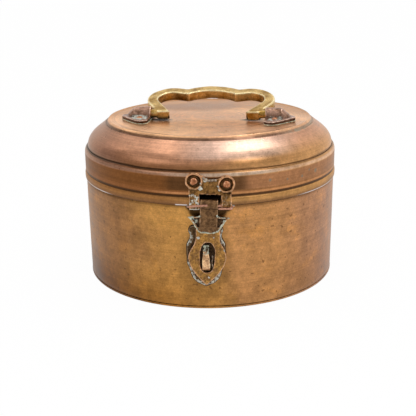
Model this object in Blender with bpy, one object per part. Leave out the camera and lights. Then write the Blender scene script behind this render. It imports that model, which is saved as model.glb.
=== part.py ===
"""A round brass storage box with a hinged lid, a swinging hasp over a staple, and a bail handle.

Metres, +Z up. The origin is the centre of the underside; the hasp faces -Y and the lid's hinge +Y.
"""

import math

import bmesh
import bpy
from mathutils import Matrix, Vector

MM = 0.001

# General
SEGMENTS = 64
ARC_STEPS = 9
WRAP_STEP = 4.0 * MM
GAP = 0.3 * MM
OVERRUN = 3.0 * MM
SHARP_ANGLE = math.radians(35.0)

# Drum
DRUM_INSET = 0.4 * MM
DRUM_TAPER = 0.6 * MM
DRUM_WALL = 1.2 * MM
RIM_Z = 78.0 * MM
BASE_PROUD = 0.1 * MM
BASE_SHEET = 1.8 * MM
BASE_EDGE_ROUND = 0.8 * MM
COLLAR_SHEET = 1.0 * MM
COLLAR_RISE = 9.0 * MM
COLLAR_DROP = 7.0 * MM
COLLAR_LID_CLEARANCE = 0.6 * MM
COLLAR_LEAD_IN = 0.5 * MM

# Lid
LID_SHEET = 1.0 * MM
BAND_R = 99.5 * MM
BAND_H = 24.4 * MM
BAND_SHOULDER = 3.2 * MM
BAND_LIP_IN = 2.2 * MM
BEAD_PROUD = 0.5 * MM
BEAD_H = 6.2 * MM
SKIRT_LIFT = 1.2 * MM
DOME_RISE = 18.2 * MM
DOME_RUN = 18.2 * MM
RING_STEP = 2.6 * MM
RING_STEP_RUN = 3.1 * MM
DISC_DISH = 0.5 * MM
DISC_DISH_RUN = 11.3 * MM
DOME_NECK_SHARE = 0.35

# Rivets
RIVET_SIDES = 12
LEAF_HEAD_R = 2.8 * MM
LEAF_HEAD_H = 1.8 * MM
LEAF_SHANK_R = 1.4 * MM
SADDLE_HEAD_R = 2.3 * MM
SADDLE_HEAD_H = 1.3 * MM
SADDLE_SHANK_R = 1.2 * MM
STRAP_HEAD_R = 1.3 * MM
STRAP_HEAD_H = 0.5 * MM
STRAP_SHANK_R = 0.7 * MM
TAIL_PROUD_R = 0.6 * MM
TAIL_H = 0.8 * MM

# Leaves on the lid and the drum, and their pins
LEAF_SHEET = 1.3 * MM
LEAF_STAND_OFF = 0.9 * MM
LOBE_R = 6.3 * MM
LOBE_X = 11.1 * MM
LOBE_Z = 15.7 * MM
FRONT_LEAF_TILT = 1.25 * MM
LOBE_RECESS_R = 4.5 * MM
LOBE_RECESS_DEPTH = 0.6 * MM
LOBE_OPENS = math.radians(42.0)
LOBE_CLOSES = math.radians(232.0)
WINDOW_W = 15.2 * MM
WINDOW_TOP = 7.9 * MM
LEG_W = 7.0 * MM
LEG_END = 5.6 * MM
CURL_SHEET = 1.3 * MM
CURL_BORE_R = 1.2 * MM
CURL_SWEEP = math.radians(235.0)
KNUCKLE_SWEEP = math.radians(280.0)
PIN_R = 0.75 * MM
PIN_Z = 79.9 * MM
PIN_STAND_OFF = 5.6 * MM
PIN_TURN_R = 2.0 * MM
PIN_RETURN_LEFT = 13.0 * MM
PIN_RETURN_RIGHT = 9.0 * MM
PIN_SIDE_PLAY = 1.6 * MM
REAR_PIN_HEAD = 1.5 * MM
REAR_KNUCKLE_PLAY = 0.5 * MM
LOWER_LEAF_H = 20.0 * MM
LOWER_LEAF_W = 26.0 * MM

# Hasp
HASP_LEAN = math.radians(2.4)
STRAP_SHEET = 1.6 * MM
STRAP_W = 12.3 * MM
STRAP_X = -1.0 * MM
STRAP_BORE_R = 1.4 * MM
STRAP_DROP = 20.4 * MM
EAR_DROP = 8.6 * MM
EAR_SPAN = 30.0 * MM
EAR_H = 1.6 * MM
PLATE_SHEET = 1.2 * MM
PLATE_NECK_W = 17.4 * MM
PLATE_TOP_DROP = 10.0 * MM
PLATE_TIP_DROP = 60.2 * MM
SLOT_W = 10.0 * MM
SLOT_H = 22.8 * MM
SLOT_DROP = 39.3 * MM
SLOT_POINTS = 20
SLOT_SQUARENESS = 0.6
STRAP_RIVET_DROP = 14.0 * MM

# Staple and its plate
STAPLE_PLATE_SHEET = 1.0 * MM
STAPLE_PLATE_X = -3.6 * MM
STAPLE_PLATE_W = 27.0 * MM
STAPLE_PLATE_TOP = 63.8 * MM
STAPLE_PLATE_FOOT = 18.4 * MM
STAPLE_X = -3.5 * MM
STAPLE_Z = 41.0 * MM
STAPLE_W = 5.6 * MM
STAPLE_BAR = 1.6 * MM
STAPLE_LOOP_R = 7.9 * MM
STAPLE_STRAIGHT = 3.4 * MM
STAPLE_CLENCH = 7.0 * MM

# Bail and saddles
BAIL_TURN = math.radians(-7.0)
BAIL_REST = math.radians(15.0)
BAIL_Y = -16.0 * MM
BAIL_X = -1.0 * MM
BAIL_PIVOT_LIFT = 4.7 * MM
BAIL_W = 8.6 * MM
BAIL_T = 6.6 * MM
BAIL_EDGE = 1.3 * MM
BAIL_ROD_R = 3.2 * MM
BAIL_HEEL_DROP = 3.2 * MM
BAIL_REACH = 41.4 * MM
BAIL_CUSP_U = 20.0 * MM
BAIL_CUSP_V = 34.9 * MM
BAIL_LOBE_U = 31.0 * MM
BAIL_LOBE_V = 21.6 * MM
BAIL_LOBE_R = 15.6 * MM
BAIL_LOBE_START = math.radians(108.0)
BAIL_LOBE_END = math.radians(-31.0)
BAIL_CORNER_ANGLE = math.radians(60.0)
SADDLE_INNER_U = 44.5 * MM
SADDLE_L = 22.0 * MM
SADDLE_WING = 21.0 * MM
SADDLE_EDGE_T = 1.6 * MM
SADDLE_ROOT_T = 2.8 * MM
SADDLE_HUMP_L = 17.0 * MM
SADDLE_HUMP_WALL = 1.9 * MM
SADDLE_BORE_CLEARANCE = 0.3 * MM
SADDLE_BORE_L = 13.5 * MM
SADDLE_ROD_L = 12.5 * MM
SADDLE_RIVET_U = 7.5 * MM
SADDLE_RIVET_W = 10.0 * MM

# Outlines, as shares of the piece's half width and of its height, from the top down
PLATE_HALF_SHARES = (
    (0.00, 1.00), (0.26, 1.00), (0.42, 0.98), (0.50, 1.12), (0.56, 1.40), (0.62, 1.56), (0.70, 1.58),
    (0.78, 1.36), (0.86, 0.98), (0.94, 0.48), (1.00, 0.00),
)
STAPLE_PLATE_HALF_SHARES = (
    (0.00, 0.84), (0.07, 0.90), (0.16, 0.80), (0.24, 0.88), (0.32, 1.00), (0.48, 1.00), (0.62, 0.97),
    (0.72, 0.84), (0.84, 0.72), (0.93, 0.48), (0.97, 0.20), (1.00, 0.00),
)
STRAP_FOOT_SHARES = ((1.00, 0.00), (0.80, 0.16), (0.58, 0.62), (0.48, 0.84), (0.34, 0.96), (0.16, 1.00))
SADDLE_HALF_SHARES = ((0.00, 0.00), (0.00, 0.86), (0.10, 0.97), (0.26, 1.00), (0.50, 0.80), (1.00, 0.10))
HUMP_END_SHARES = (0.35, 0.65, 0.86, 0.97)

# Sizes that follow from those above: BAND_R, the lid's radius, drives all the round shells
DRUM_R = BAND_R - DRUM_INSET
DRUM_FOOT_R = DRUM_R - DRUM_TAPER
BASE_R = DRUM_FOOT_R + BASE_PROUD
RING_R = BAND_R - DOME_RUN
DISC_FLAT_R = RING_R - DISC_DISH_RUN
PIN_Y = BAND_R + PIN_STAND_OFF
SKIRT_R = BAND_R - LID_SHEET - GAP
LEAF_R = BAND_R + LEAF_STAND_OFF
LEAF_HEAD = (LEAF_HEAD_R, LEAF_HEAD_H, LEAF_SHANK_R)
STRAP_BACK_Y = -PIN_Y + STRAP_BORE_R + STRAP_SHEET
PLATE_BACK_Y = STRAP_BACK_Y + GAP + PLATE_SHEET
DISC_Z = RIM_Z + GAP + BAND_H + DOME_RISE + RING_STEP - DISC_DISH

# Metals: name, colour and roughness of each
FINISH_LOOKS = {
    "body": ("aged_brass", (0.42, 0.24, 0.09), 0.38),
    "lid": ("lid_brass", (0.45, 0.25, 0.13), 0.34),
    "handle": ("yellow_brass", (0.62, 0.43, 0.14), 0.32),
    "saddle": ("copper_cast", (0.36, 0.21, 0.13), 0.45),
    "hardware": ("leaf_brass", (0.33, 0.20, 0.10), 0.45),
    "hasp": ("hasp_bronze", (0.28, 0.17, 0.09), 0.5),
    "staple": ("staple_copper", (0.45, 0.27, 0.15), 0.4),
    "rivet": ("rivet_copper", (0.45, 0.19, 0.10), 0.4),
}
FINISHES = {}


def material(name, colour, roughness):
    """A metal of one colour and roughness."""
    made = bpy.data.materials.new(name)
    made.use_nodes = True
    shader = made.node_tree.nodes["Principled BSDF"]
    shader.inputs["Base Color"].default_value = (*colour, 1.0)
    shader.inputs["Roughness"].default_value = roughness
    shader.inputs["Metallic"].default_value = 1.0
    return made


def add_object(name, bm, finish):
    """Turns a bmesh into an object, with its faces pointing out."""
    bmesh.ops.recalc_face_normals(bm, faces=bm.faces)
    mesh = bpy.data.meshes.new(name)
    bm.to_mesh(mesh)
    bm.free()
    mesh.materials.append(finish)
    mesh.shade_smooth()
    mesh.set_sharp_from_angle(angle=SHARP_ANGLE)
    obj = bpy.data.objects.new(name, mesh)
    bpy.context.collection.objects.link(obj)
    return obj


def boolean(target, tool, operation):
    """Cuts or joins with a tool object, which is used up."""
    step = target.modifiers.new(operation.title(), "BOOLEAN")
    step.operation = operation
    step.object = tool
    step.solver = "EXACT"
    graph = bpy.context.evaluated_depsgraph_get()
    mesh = bpy.data.meshes.new_from_object(target.evaluated_get(graph))
    target.modifiers.remove(step)
    target.data = mesh
    bpy.data.objects.remove(tool)
    return target


def cut(target, tool):
    return boolean(target, tool, "DIFFERENCE")


def join(target, tool):
    return boolean(target, tool, "UNION")


def turned(name, profile, finish, sides=SEGMENTS):
    """A solid turned about Z from a closed profile of (radius, height)."""
    bm = bmesh.new()
    rings = []
    for radius, height in profile:
        if radius == 0:
            rings.append([bm.verts.new((0, 0, height))] * sides)
            continue
        ring = []
        for step in range(sides):
            angle = 2 * math.pi * step / sides
            ring.append(bm.verts.new((radius * math.cos(angle), radius * math.sin(angle), height)))
        rings.append(ring)
    for near, far in zip(rings, rings[1:] + rings[:1]):
        for step in range(sides):
            after = (step + 1) % sides
            corners = []
            for corner in (near[step], near[after], far[after], far[step]):
                if corner not in corners:
                    corners.append(corner)
            if len(corners) > 2:
                bm.faces.new(corners)
    return add_object(name, bm, finish)


def prism(name, outline, low, high, finish, across="Y"):
    """An outline drawn in the two other axes, extruded from low to high along one axis."""
    bm = bmesh.new()
    ends = []
    for level in (low, high):
        if across == "Y":
            ends.append([bm.verts.new((a, level, b)) for a, b in outline])
        elif across == "X":
            ends.append([bm.verts.new((level, a, b)) for a, b in outline])
        else:
            ends.append([bm.verts.new((a, b, level)) for a, b in outline])
    bm.faces.new(ends[0])
    bm.faces.new(ends[1])
    count = len(outline)
    for step in range(count):
        after = (step + 1) % count
        bm.faces.new((ends[0][step], ends[0][after], ends[1][after], ends[1][step]))
    return add_object(name, bm, finish)


def arc(centre, radius, start, end, steps):
    """Points along an arc, both ends included."""
    points = []
    for step in range(steps + 1):
        angle = start + (end - start) * step / steps
        points.append((centre[0] + radius * math.cos(angle), centre[1] + radius * math.sin(angle)))
    return points


def circle(centre, radius, sides=RIVET_SIDES):
    return arc(centre, radius, 0, 2 * math.pi * (sides - 1) / sides, sides - 1)


def offset_path(points, distance):
    """The path moved sideways, to the left of its direction, with mitred corners."""
    moved = []
    for index, point in enumerate(points):
        here = Vector(point)
        before = here - Vector(points[index - 1]) if index else Vector(points[1]) - here
        after = Vector(points[index + 1]) - here if index + 1 < len(points) else before
        before.normalize()
        after.normalize()
        middle = (before + after).normalized()
        left = Vector((-middle.y, middle.x))
        cosine = max(left.dot(Vector((-before.y, before.x))), 0.5)
        moved.append(tuple(here + left * distance / cosine))
    return moved


def strip(path, thickness):
    """The closed outline of a sheet of this thickness that follows a path."""
    return offset_path(path, thickness / 2) + offset_path(path, -thickness / 2)[::-1]


def bezier(start, first, second, end, steps):
    """Points along a cubic curve."""
    points = []
    for step in range(steps + 1):
        t = step / steps
        weights = ((1 - t) ** 3, 3 * t * (1 - t) ** 2, 3 * t * t * (1 - t), t ** 3)
        mixed = [sum(w * p[axis] for w, p in zip(weights, (start, first, second, end))) for axis in (0, 1)]
        points.append(tuple(mixed))
    return points


def cylinder_cutter(centre, direction, radius, length):
    """A hidden cylinder through a point, used to cut a hole."""
    bm = bmesh.new()
    turn = Vector(direction).to_track_quat("Z", "Y").to_matrix().to_4x4()
    bmesh.ops.create_cone(bm, cap_ends=True, segments=RIVET_SIDES, radius1=radius, radius2=radius,
                          depth=length, matrix=Matrix.Translation(centre) @ turn)
    tool = add_object("cutter", bm, FINISHES["rivet"])
    tool.hide_render = True
    tool.display_type = "WIRE"
    return tool


def box_cutter(low, high):
    """A hidden box between two corners, used to cut a pocket."""
    outline = [(low[0], low[2]), (high[0], low[2]), (high[0], high[2]), (low[0], high[2])]
    tool = prism("cutter", outline, low[1], high[1], FINISHES["rivet"])
    tool.hide_render = True
    tool.display_type = "WIRE"
    return tool


def on_drum(across, out, height, side):
    """The place of a point that lies this far round the drum's front (side -1) or back (side 1)."""
    angle = across / LEAF_R
    return Vector((-side * out * math.sin(angle), side * out * math.cos(angle), height))


def wrap(obj, radius, side):
    """Bends a flat plate, drawn in X and Z with Y as its height, round the drum."""
    bm = bmesh.new()
    bm.from_mesh(obj.data)
    widest = max(abs(v.co.x) for v in bm.verts)
    lines = max(int(widest / WRAP_STEP), 1)
    for line in range(-lines, lines + 1):
        everything = bm.verts[:] + bm.edges[:] + bm.faces[:]
        bmesh.ops.bisect_plane(bm, geom=everything, plane_co=(line * WRAP_STEP, 0, 0), plane_no=(1, 0, 0))
    bmesh.ops.triangulate(bm, faces=bm.faces)
    for vertex in bm.verts:
        across, out, height = vertex.co
        vertex.co = on_drum(across, radius + out, height, side)
    bmesh.ops.recalc_face_normals(bm, faces=bm.faces)
    bm.to_mesh(obj.data)
    bm.free()


def rivet(name, seat, direction, head, stack, finish):
    """A domed rivet: head on its seat, shank through the stack, and a peened tail behind it."""
    head_r, head_h, shank_r = head
    tail_r = shank_r + TAIL_PROUD_R
    dome = [(head_r * math.cos(a), head_h * math.sin(a)) for a in (0, math.pi / 6, math.pi / 3)]
    profile = [(0, head_h)] + dome[::-1]
    profile += [(shank_r, 0), (shank_r, -stack), (tail_r, -stack), (tail_r, -stack - TAIL_H / 2)]
    profile += [(shank_r, -stack - TAIL_H), (0, -stack - TAIL_H)]
    made = turned(name, profile, finish, RIVET_SIDES)
    turn = Vector(direction).to_track_quat("Z", "Y").to_matrix().to_4x4()
    made.data.transform(Matrix.Translation(seat) @ turn)
    return made


def wall_r(height):
    """The drum's outer radius at a height."""
    share = (height - BASE_SHEET) / (RIM_Z - BASE_SHEET)
    return DRUM_FOOT_R + (DRUM_R - DRUM_FOOT_R) * share


def make_drum():
    """The base disc, the wall that stands on it, and the collar inside the mouth."""
    foot = BASE_SHEET + GAP
    base = [(0, 0), (BASE_R - BASE_EDGE_ROUND, 0), (BASE_R - BASE_EDGE_ROUND * 0.3, BASE_EDGE_ROUND * 0.3)]
    base += [(BASE_R, BASE_EDGE_ROUND), (BASE_R, BASE_SHEET), (0, BASE_SHEET)]
    turned("base_disc", base, FINISHES["body"])
    wall = [(wall_r(foot), foot), (DRUM_R, RIM_Z), (DRUM_R - DRUM_WALL, RIM_Z)]
    wall += [(wall_r(foot) - DRUM_WALL, foot)]
    drum = turned("drum_wall", wall, FINISHES["body"])
    low = RIM_Z - COLLAR_DROP
    outer_low = wall_r(low) - DRUM_WALL - GAP
    outer_high = SKIRT_R - LID_SHEET - COLLAR_LID_CLEARANCE
    joggle = outer_low - outer_high
    path = [(outer_low, low), (outer_low, RIM_Z - joggle), (outer_high, RIM_Z)]
    path += [(outer_high, RIM_Z + COLLAR_RISE - COLLAR_LEAD_IN)]
    path += [(outer_high - COLLAR_LEAD_IN, RIM_Z + COLLAR_RISE)]
    turned("mouth_collar", path + offset_path(path, COLLAR_SHEET)[::-1], FINISHES["body"])
    return drum


def make_band():
    """The lid's straight side: a rolled bead, the flat band and a rounded shoulder, its lip turned in."""
    low = RIM_Z + GAP
    top = low + BAND_H
    bead_mid = low + BEAD_H / 2
    inner = BAND_R - LID_SHEET
    lip = BAND_R - BAND_LIP_IN
    turn = BAND_SHOULDER
    profile = [(inner, low), (BAND_R, low), (BAND_R + BEAD_PROUD, low + BEAD_H / 6)]
    profile += [(BAND_R + BEAD_PROUD, bead_mid + BEAD_H / 6), (BAND_R, low + BEAD_H), (BAND_R, top - turn)]
    profile += [(BAND_R - turn * 0.10, top - turn * 0.55), (BAND_R - turn * 0.34, top - turn * 0.18)]
    profile += [(lip, top)]
    profile += [(lip, top - LID_SHEET), (inner - turn * 0.12, top - turn * 0.75), (inner, top - turn * 1.25)]
    return turned("lid_band", profile, FINISHES["lid"])


def make_dome():
    """The lid's top: a skirt inside the band, the dome, the step round the disc, and the disc."""
    foot = RIM_Z + GAP + SKIRT_LIFT
    top = RIM_Z + GAP + BAND_H
    neck = BAND_R - BAND_LIP_IN - GAP
    ring_foot = top + DOME_RISE
    run = RING_STEP_RUN
    skirt = [(SKIRT_R, foot), (SKIRT_R, top - BAND_SHOULDER * 1.15), (neck, top - BAND_SHOULDER * 0.45)]
    start = (neck, top + GAP)
    pull = DOME_RISE * DOME_NECK_SHARE
    curve = bezier(start, (neck - GAP, top + pull * 1.45), (RING_R + pull * 1.3, ring_foot - pull),
                   (RING_R, ring_foot), ARC_STEPS)
    step = [(RING_R - run * 0.30, ring_foot + RING_STEP * 0.42)]
    step += [(RING_R - run * 0.58, ring_foot + RING_STEP * 0.86), (RING_R - run, ring_foot + RING_STEP)]
    step += [(DISC_FLAT_R, ring_foot + RING_STEP - DISC_DISH)]
    outer = skirt + curve + step + [(0, ring_foot + RING_STEP - DISC_DISH)]
    inner = offset_path(outer[:-1], LID_SHEET) + [(0, outer[-1][1] - LID_SHEET)]
    return turned("lid_dome", outer + inner[::-1], FINISHES["lid"])


def leaf_outline(tilt):
    """The butterfly: two round lobes over two legs, with a window between the legs."""
    left = (-LOBE_X, LOBE_Z + tilt)
    right = (LOBE_X, LOBE_Z - tilt)
    outside = WINDOW_W / 2 + LEG_W
    left_arc = arc(left, LOBE_R, LOBE_CLOSES, LOBE_OPENS, ARC_STEPS)
    right_arc = arc(right, LOBE_R, math.pi - LOBE_OPENS, math.pi - LOBE_CLOSES, ARC_STEPS)
    points = [(-outside, LEG_END)] + left_arc + right_arc + [(outside, LEG_END), (WINDOW_W / 2, LEG_END)]
    points += [(WINDOW_W / 2, WINDOW_TOP - tilt / 2), (-WINDOW_W / 2, WINDOW_TOP), (-WINDOW_W / 2, LEG_END)]
    return [(x, z + PIN_Z - GAP) for x, z in points]


def curl(name, low, high, plate_y, plate_z, pin, bore_r, sheet, front, finish):
    """A sheet end curled round a pin. It leaves the plate in front of the pin, or straight up behind it."""
    mid_r = bore_r + sheet / 2
    if front:
        start = Vector((plate_y, plate_z))
        away = start - Vector(pin)
        lean = math.acos(mid_r / away.length)
        first = math.atan2(away.y, away.x) + lean
        path = [tuple(start)] + arc(pin, mid_r, first, first + CURL_SWEEP, ARC_STEPS)
    else:
        path = [(plate_y, plate_z)] + arc(pin, mid_r, 0, KNUCKLE_SWEEP, ARC_STEPS + 2)
    return prism(name, strip(path, sheet), low, high, finish, across="X")


def make_upper_leaf(name, side, tilt, finish):
    """A butterfly leaf on the lid band, its legs curled round the pin. Returns it with its rivets' seats."""
    leaf = prism(name, leaf_outline(tilt), 0, LEAF_SHEET, finish)
    seats = []
    for hand in (-1, 1):
        place = (hand * LOBE_X, PIN_Z - GAP + LOBE_Z - hand * tilt)
        recess = prism("cutter", circle(place, LOBE_RECESS_R), LEAF_SHEET - LOBE_RECESS_DEPTH,
                       LEAF_SHEET + OVERRUN, finish)
        cut(leaf, recess)
        cut(leaf, prism("cutter", circle(place, LEAF_SHANK_R + GAP), -OVERRUN, LEAF_SHEET + OVERRUN, finish))
        seats.append(place)
    wrap(leaf, LEAF_R, side)
    for hand in (-1, 1):
        middle = hand * (WINDOW_W + LEG_W) / 2
        knuckle = curl("curl", middle - LEG_W / 2, middle + LEG_W / 2, -LEAF_R - LEAF_SHEET * 0.35,
                       PIN_Z + LEG_END + LEAF_SHEET, (-PIN_Y, PIN_Z), CURL_BORE_R, CURL_SHEET, True, finish)
        if side > 0:
            knuckle.data.transform(Matrix.Rotation(math.pi, 4, "Z"))
        join(leaf, knuckle)
    return leaf, seats


def rivet_leaf(prefix, seats, side, stack, seat_out, walls, head):
    """Drills the walls behind each seat and sets a rivet there."""
    made = []
    for hand, (across, height) in zip(("left", "right"), seats):
        seat = on_drum(across, seat_out, height, side)
        direction = on_drum(across, 1, 0, side)
        for wall in walls:
            cut(wall, cylinder_cutter(seat, direction, head[2] + GAP, (stack + OVERRUN) * 2))
        made.append(rivet(f"{prefix}_{hand}", seat, direction, head, stack, FINISHES["rivet"]))
    return made


def make_lower_leaf(drum):
    """The rear hinge's leaf on the drum, with one knuckle between the upper leaf's two."""
    half = LOWER_LEAF_W / 2
    knuckle_half = WINDOW_W / 2 - REAR_KNUCKLE_PLAY
    top = PIN_Z - PIN_TURN_R * 2
    shoulder = top - LOWER_LEAF_H * 0.3
    foot = top - LOWER_LEAF_H
    corner = foot + LOWER_LEAF_H * 0.2
    right = [(half * 0.7, foot), (half, corner), (half, shoulder)]
    right += [(knuckle_half, shoulder), (knuckle_half, top)]
    outline = [(-x, z) for x, z in right[::-1]] + right
    leaf = prism("hinge_leaf_lower", outline, 0, LEAF_SHEET, FINISHES["hardware"])
    seats = [(hand * half * 0.62, foot + LOWER_LEAF_H * 0.36) for hand in (-1, 1)]
    for place in seats:
        cut(leaf, prism("cutter", circle(place, LEAF_SHANK_R + GAP), -OVERRUN, LEAF_SHEET + OVERRUN,
                        FINISHES["hardware"]))
    wrap(leaf, DRUM_R + GAP, 1)
    knuckle = curl("curl", -knuckle_half, knuckle_half, -DRUM_R - GAP - LEAF_SHEET * 0.6, top - LEAF_SHEET,
                   (-PIN_Y, PIN_Z), CURL_BORE_R, CURL_SHEET, False, FINISHES["hardware"])
    knuckle.data.transform(Matrix.Rotation(math.pi, 4, "Z"))
    join(leaf, knuckle)
    stack = LEAF_SHEET + GAP * 3 + (DRUM_R - wall_r(seats[0][1])) + DRUM_WALL
    rivet_leaf("hinge_rivet_lower", seats, 1, stack, DRUM_R + GAP + LEAF_SHEET + GAP, [drum], LEAF_HEAD)
    return leaf


def make_pins():
    """The hasp's wire pin, its two ends turned back to the front, and the rear hinge's plain pin."""
    reach = WINDOW_W / 2 + LEG_W + PIN_SIDE_PLAY
    front = -PIN_Y - PIN_TURN_R * 2 + PIN_R / 2
    rise = PIN_R * 1.3
    route = [(-reach + PIN_RETURN_LEFT, front, PIN_Z + rise * 1.6), (-reach, front, PIN_Z + rise)]
    route += [(-reach - PIN_TURN_R * 0.7, front + PIN_TURN_R * 0.45, PIN_Z + rise * 0.8)]
    route += [(-reach - PIN_TURN_R, (front - PIN_Y) / 2, PIN_Z + rise * 0.5)]
    route += [(-reach - PIN_TURN_R * 0.7, -PIN_Y - PIN_TURN_R * 0.45, PIN_Z + rise * 0.15)]
    route += [(-reach, -PIN_Y, PIN_Z), (reach, -PIN_Y, PIN_Z)]
    route += [(reach + PIN_TURN_R * 0.7, -PIN_Y - PIN_TURN_R * 0.45, PIN_Z - rise * 0.15)]
    route += [(reach + PIN_TURN_R, (front - PIN_Y) / 2, PIN_Z - rise * 0.5)]
    route += [(reach + PIN_TURN_R * 0.7, front + PIN_TURN_R * 0.45, PIN_Z - rise * 0.8)]
    route += [(reach, front, PIN_Z - rise), (reach - PIN_RETURN_RIGHT, front, PIN_Z - rise)]
    tube("hasp_pin", route, PIN_R, FINISHES["rivet"])
    half = WINDOW_W / 2 + LEG_W + REAR_PIN_HEAD
    tube("hinge_pin", [(-half, PIN_Y, PIN_Z), (half, PIN_Y, PIN_Z)], PIN_R, FINISHES["rivet"])


def tube(name, route, radius, finish):
    """A round wire along a route, with filled ends."""
    curve = bpy.data.curves.new(name, "CURVE")
    curve.dimensions = "3D"
    curve.bevel_depth = radius
    curve.bevel_resolution = 2
    curve.use_fill_caps = True
    spline = curve.splines.new("POLY")
    spline.points.add(len(route) - 1)
    for point, place in zip(spline.points, route):
        point.co = (*place, 1)
    curve.materials.append(finish)
    obj = bpy.data.objects.new(name, curve)
    bpy.context.collection.objects.link(obj)
    return obj


def make_strap():
    """The anchor-shaped front layer, its top curled round the pin."""
    half = STRAP_W / 2
    ear = EAR_SPAN / 2
    ear_z = PIN_Z - EAR_DROP
    foot = PIN_Z - STRAP_DROP
    side = [(half, PIN_Z - STRAP_BORE_R), (half, ear_z + EAR_H * 0.4), (half * 1.25, ear_z)]
    for across, down in STRAP_FOOT_SHARES:
        side.append((ear * across, ear_z - EAR_H * 0.3 - (ear_z - EAR_H * 0.3 - foot) * down))
    outline = side + [(-x, z) for x, z in side[::-1]]
    outline = [(x + STRAP_X, z) for x, z in outline]
    strap = prism("hasp_strap", outline, STRAP_BACK_Y - STRAP_SHEET, STRAP_BACK_Y, FINISHES["hasp"])
    knuckle = curl("curl", STRAP_X - half, STRAP_X + half, STRAP_BACK_Y - STRAP_SHEET / 2,
                   PIN_Z - PIN_TURN_R * 2, (-PIN_Y, PIN_Z), STRAP_BORE_R, STRAP_SHEET, False, FINISHES["hasp"])
    return join(strap, knuckle)


def make_hasp_plate():
    """The slotted plate behind the strap."""
    top = PIN_Z - PLATE_TOP_DROP
    height = PLATE_TIP_DROP - PLATE_TOP_DROP
    neck = PLATE_NECK_W / 2
    right = [(neck * wide, top - height * down) for down, wide in PLATE_HALF_SHARES]
    outline = right + [(-x, z) for x, z in right[-2::-1]]
    outline = [(x + STRAP_X, z) for x, z in outline]
    plate = prism("hasp_plate", outline, PLATE_BACK_Y - PLATE_SHEET, PLATE_BACK_Y, FINISHES["hasp"])
    slot_z = PIN_Z - SLOT_DROP
    slot = []
    for step in range(SLOT_POINTS):
        angle = 2 * math.pi * (step + 0.5) / SLOT_POINTS
        wide = math.copysign(abs(math.cos(angle)) ** SLOT_SQUARENESS, math.cos(angle))
        high = math.copysign(abs(math.sin(angle)) ** SLOT_SQUARENESS, math.sin(angle))
        slot.append((STRAP_X + SLOT_W / 2 * wide, slot_z + SLOT_H / 2 * high))
    cut(plate, prism("cutter", slot, PLATE_BACK_Y - PLATE_SHEET - OVERRUN, PLATE_BACK_Y + OVERRUN,
                     FINISHES["hasp"]))
    return plate


def make_hasp():
    """Strap, plate and the rivet that joins them, leaning a little as they hang."""
    strap = make_strap()
    plate = make_hasp_plate()
    seat = Vector((STRAP_X, STRAP_BACK_Y - STRAP_SHEET - GAP / 2, PIN_Z - STRAP_RIVET_DROP))
    for sheet in (strap, plate):
        cut(sheet, cylinder_cutter(seat, (0, -1, 0), STRAP_SHANK_R + GAP, OVERRUN * 4))
    stack = PLATE_BACK_Y - seat.y + GAP / 3
    joiner = rivet("hasp_strap_rivet", seat, (0, -1, 0), (STRAP_HEAD_R, STRAP_HEAD_H, STRAP_SHANK_R), stack,
                   FINISHES["hasp"])
    pivot = Matrix.Translation((STRAP_X, 0, PIN_Z))
    for piece in (strap, plate, joiner):
        piece.data.transform(pivot @ Matrix.Rotation(HASP_LEAN, 4, "Y") @ pivot.inverted())
    return [strap, plate, joiner]


def make_staple(drum):
    """The scalloped plate on the drum and the flat-bar loop through it, clenched inside the wall."""
    height = STAPLE_PLATE_TOP - STAPLE_PLATE_FOOT
    half = STAPLE_PLATE_W / 2
    right = [(half * wide, STAPLE_PLATE_TOP - height * down) for down, wide in STAPLE_PLATE_HALF_SHARES]
    outline = [(x + STAPLE_PLATE_X, z) for x, z in right + [(-x, z) for x, z in right[-2::-1]]]
    plate = prism("staple_plate", outline, 0, STAPLE_PLATE_SHEET, FINISHES["hasp"])
    wrap(plate, DRUM_R + GAP / 2, -1)
    mid_r = STAPLE_LOOP_R
    widest = abs(STAPLE_X) + STAPLE_W / 2
    bore = (wall_r(STAPLE_Z - mid_r - STAPLE_CLENCH) - DRUM_WALL) * math.cos(math.pi / SEGMENTS)
    inside = -(math.sqrt(bore ** 2 - widest ** 2) - GAP - STAPLE_BAR / 2)
    loop_y = -DRUM_R - STAPLE_STRAIGHT
    top = STAPLE_Z + mid_r
    low = STAPLE_Z - mid_r
    path = [(inside, top + STAPLE_CLENCH), (inside, top)]
    path += arc((loop_y, STAPLE_Z), mid_r, math.pi / 2, 3 * math.pi / 2, ARC_STEPS + 3)
    path += [(inside, low), (inside, low - STAPLE_CLENCH)]
    half_w = STAPLE_W / 2
    prism("staple", strip(path, STAPLE_BAR), STAPLE_X - half_w, STAPLE_X + half_w, FINISHES["staple"],
          across="X")
    for leg in (top, low):
        grow = STAPLE_BAR / 2 + GAP
        corners = ((STAPLE_X - half_w - GAP, -DRUM_R - OVERRUN, leg - grow),
                   (STAPLE_X + half_w + GAP, -DRUM_R + DRUM_WALL + OVERRUN, leg + grow))
        cut(plate, box_cutter(*corners))
        cut(drum, box_cutter(*corners))


def bail_path():
    """The bail's middle line in its own plane, from the left heel round to the right one."""
    sag = BAIL_REACH - BAIL_CUSP_V
    middle_r = (BAIL_CUSP_U ** 2 + sag ** 2) / (2 * sag)
    swing = math.asin(BAIL_CUSP_U / middle_r)
    middle = arc((0, BAIL_REACH - middle_r), middle_r, math.pi / 2, math.pi / 2 - swing, ARC_STEPS // 2)
    lobe = arc((BAIL_LOBE_U, BAIL_LOBE_V), BAIL_LOBE_R, BAIL_LOBE_START, BAIL_LOBE_END, ARC_STEPS)
    bend = Vector(lobe[-1])
    along = Vector((math.sin(BAIL_LOBE_END), -math.cos(BAIL_LOBE_END)))
    heel = bend + along * (bend.y + BAIL_HEEL_DROP + BAIL_W) / -along.y
    right = middle + lobe + [tuple(heel)]
    return [(-u, v) for u, v in right[:0:-1]] + right


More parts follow.
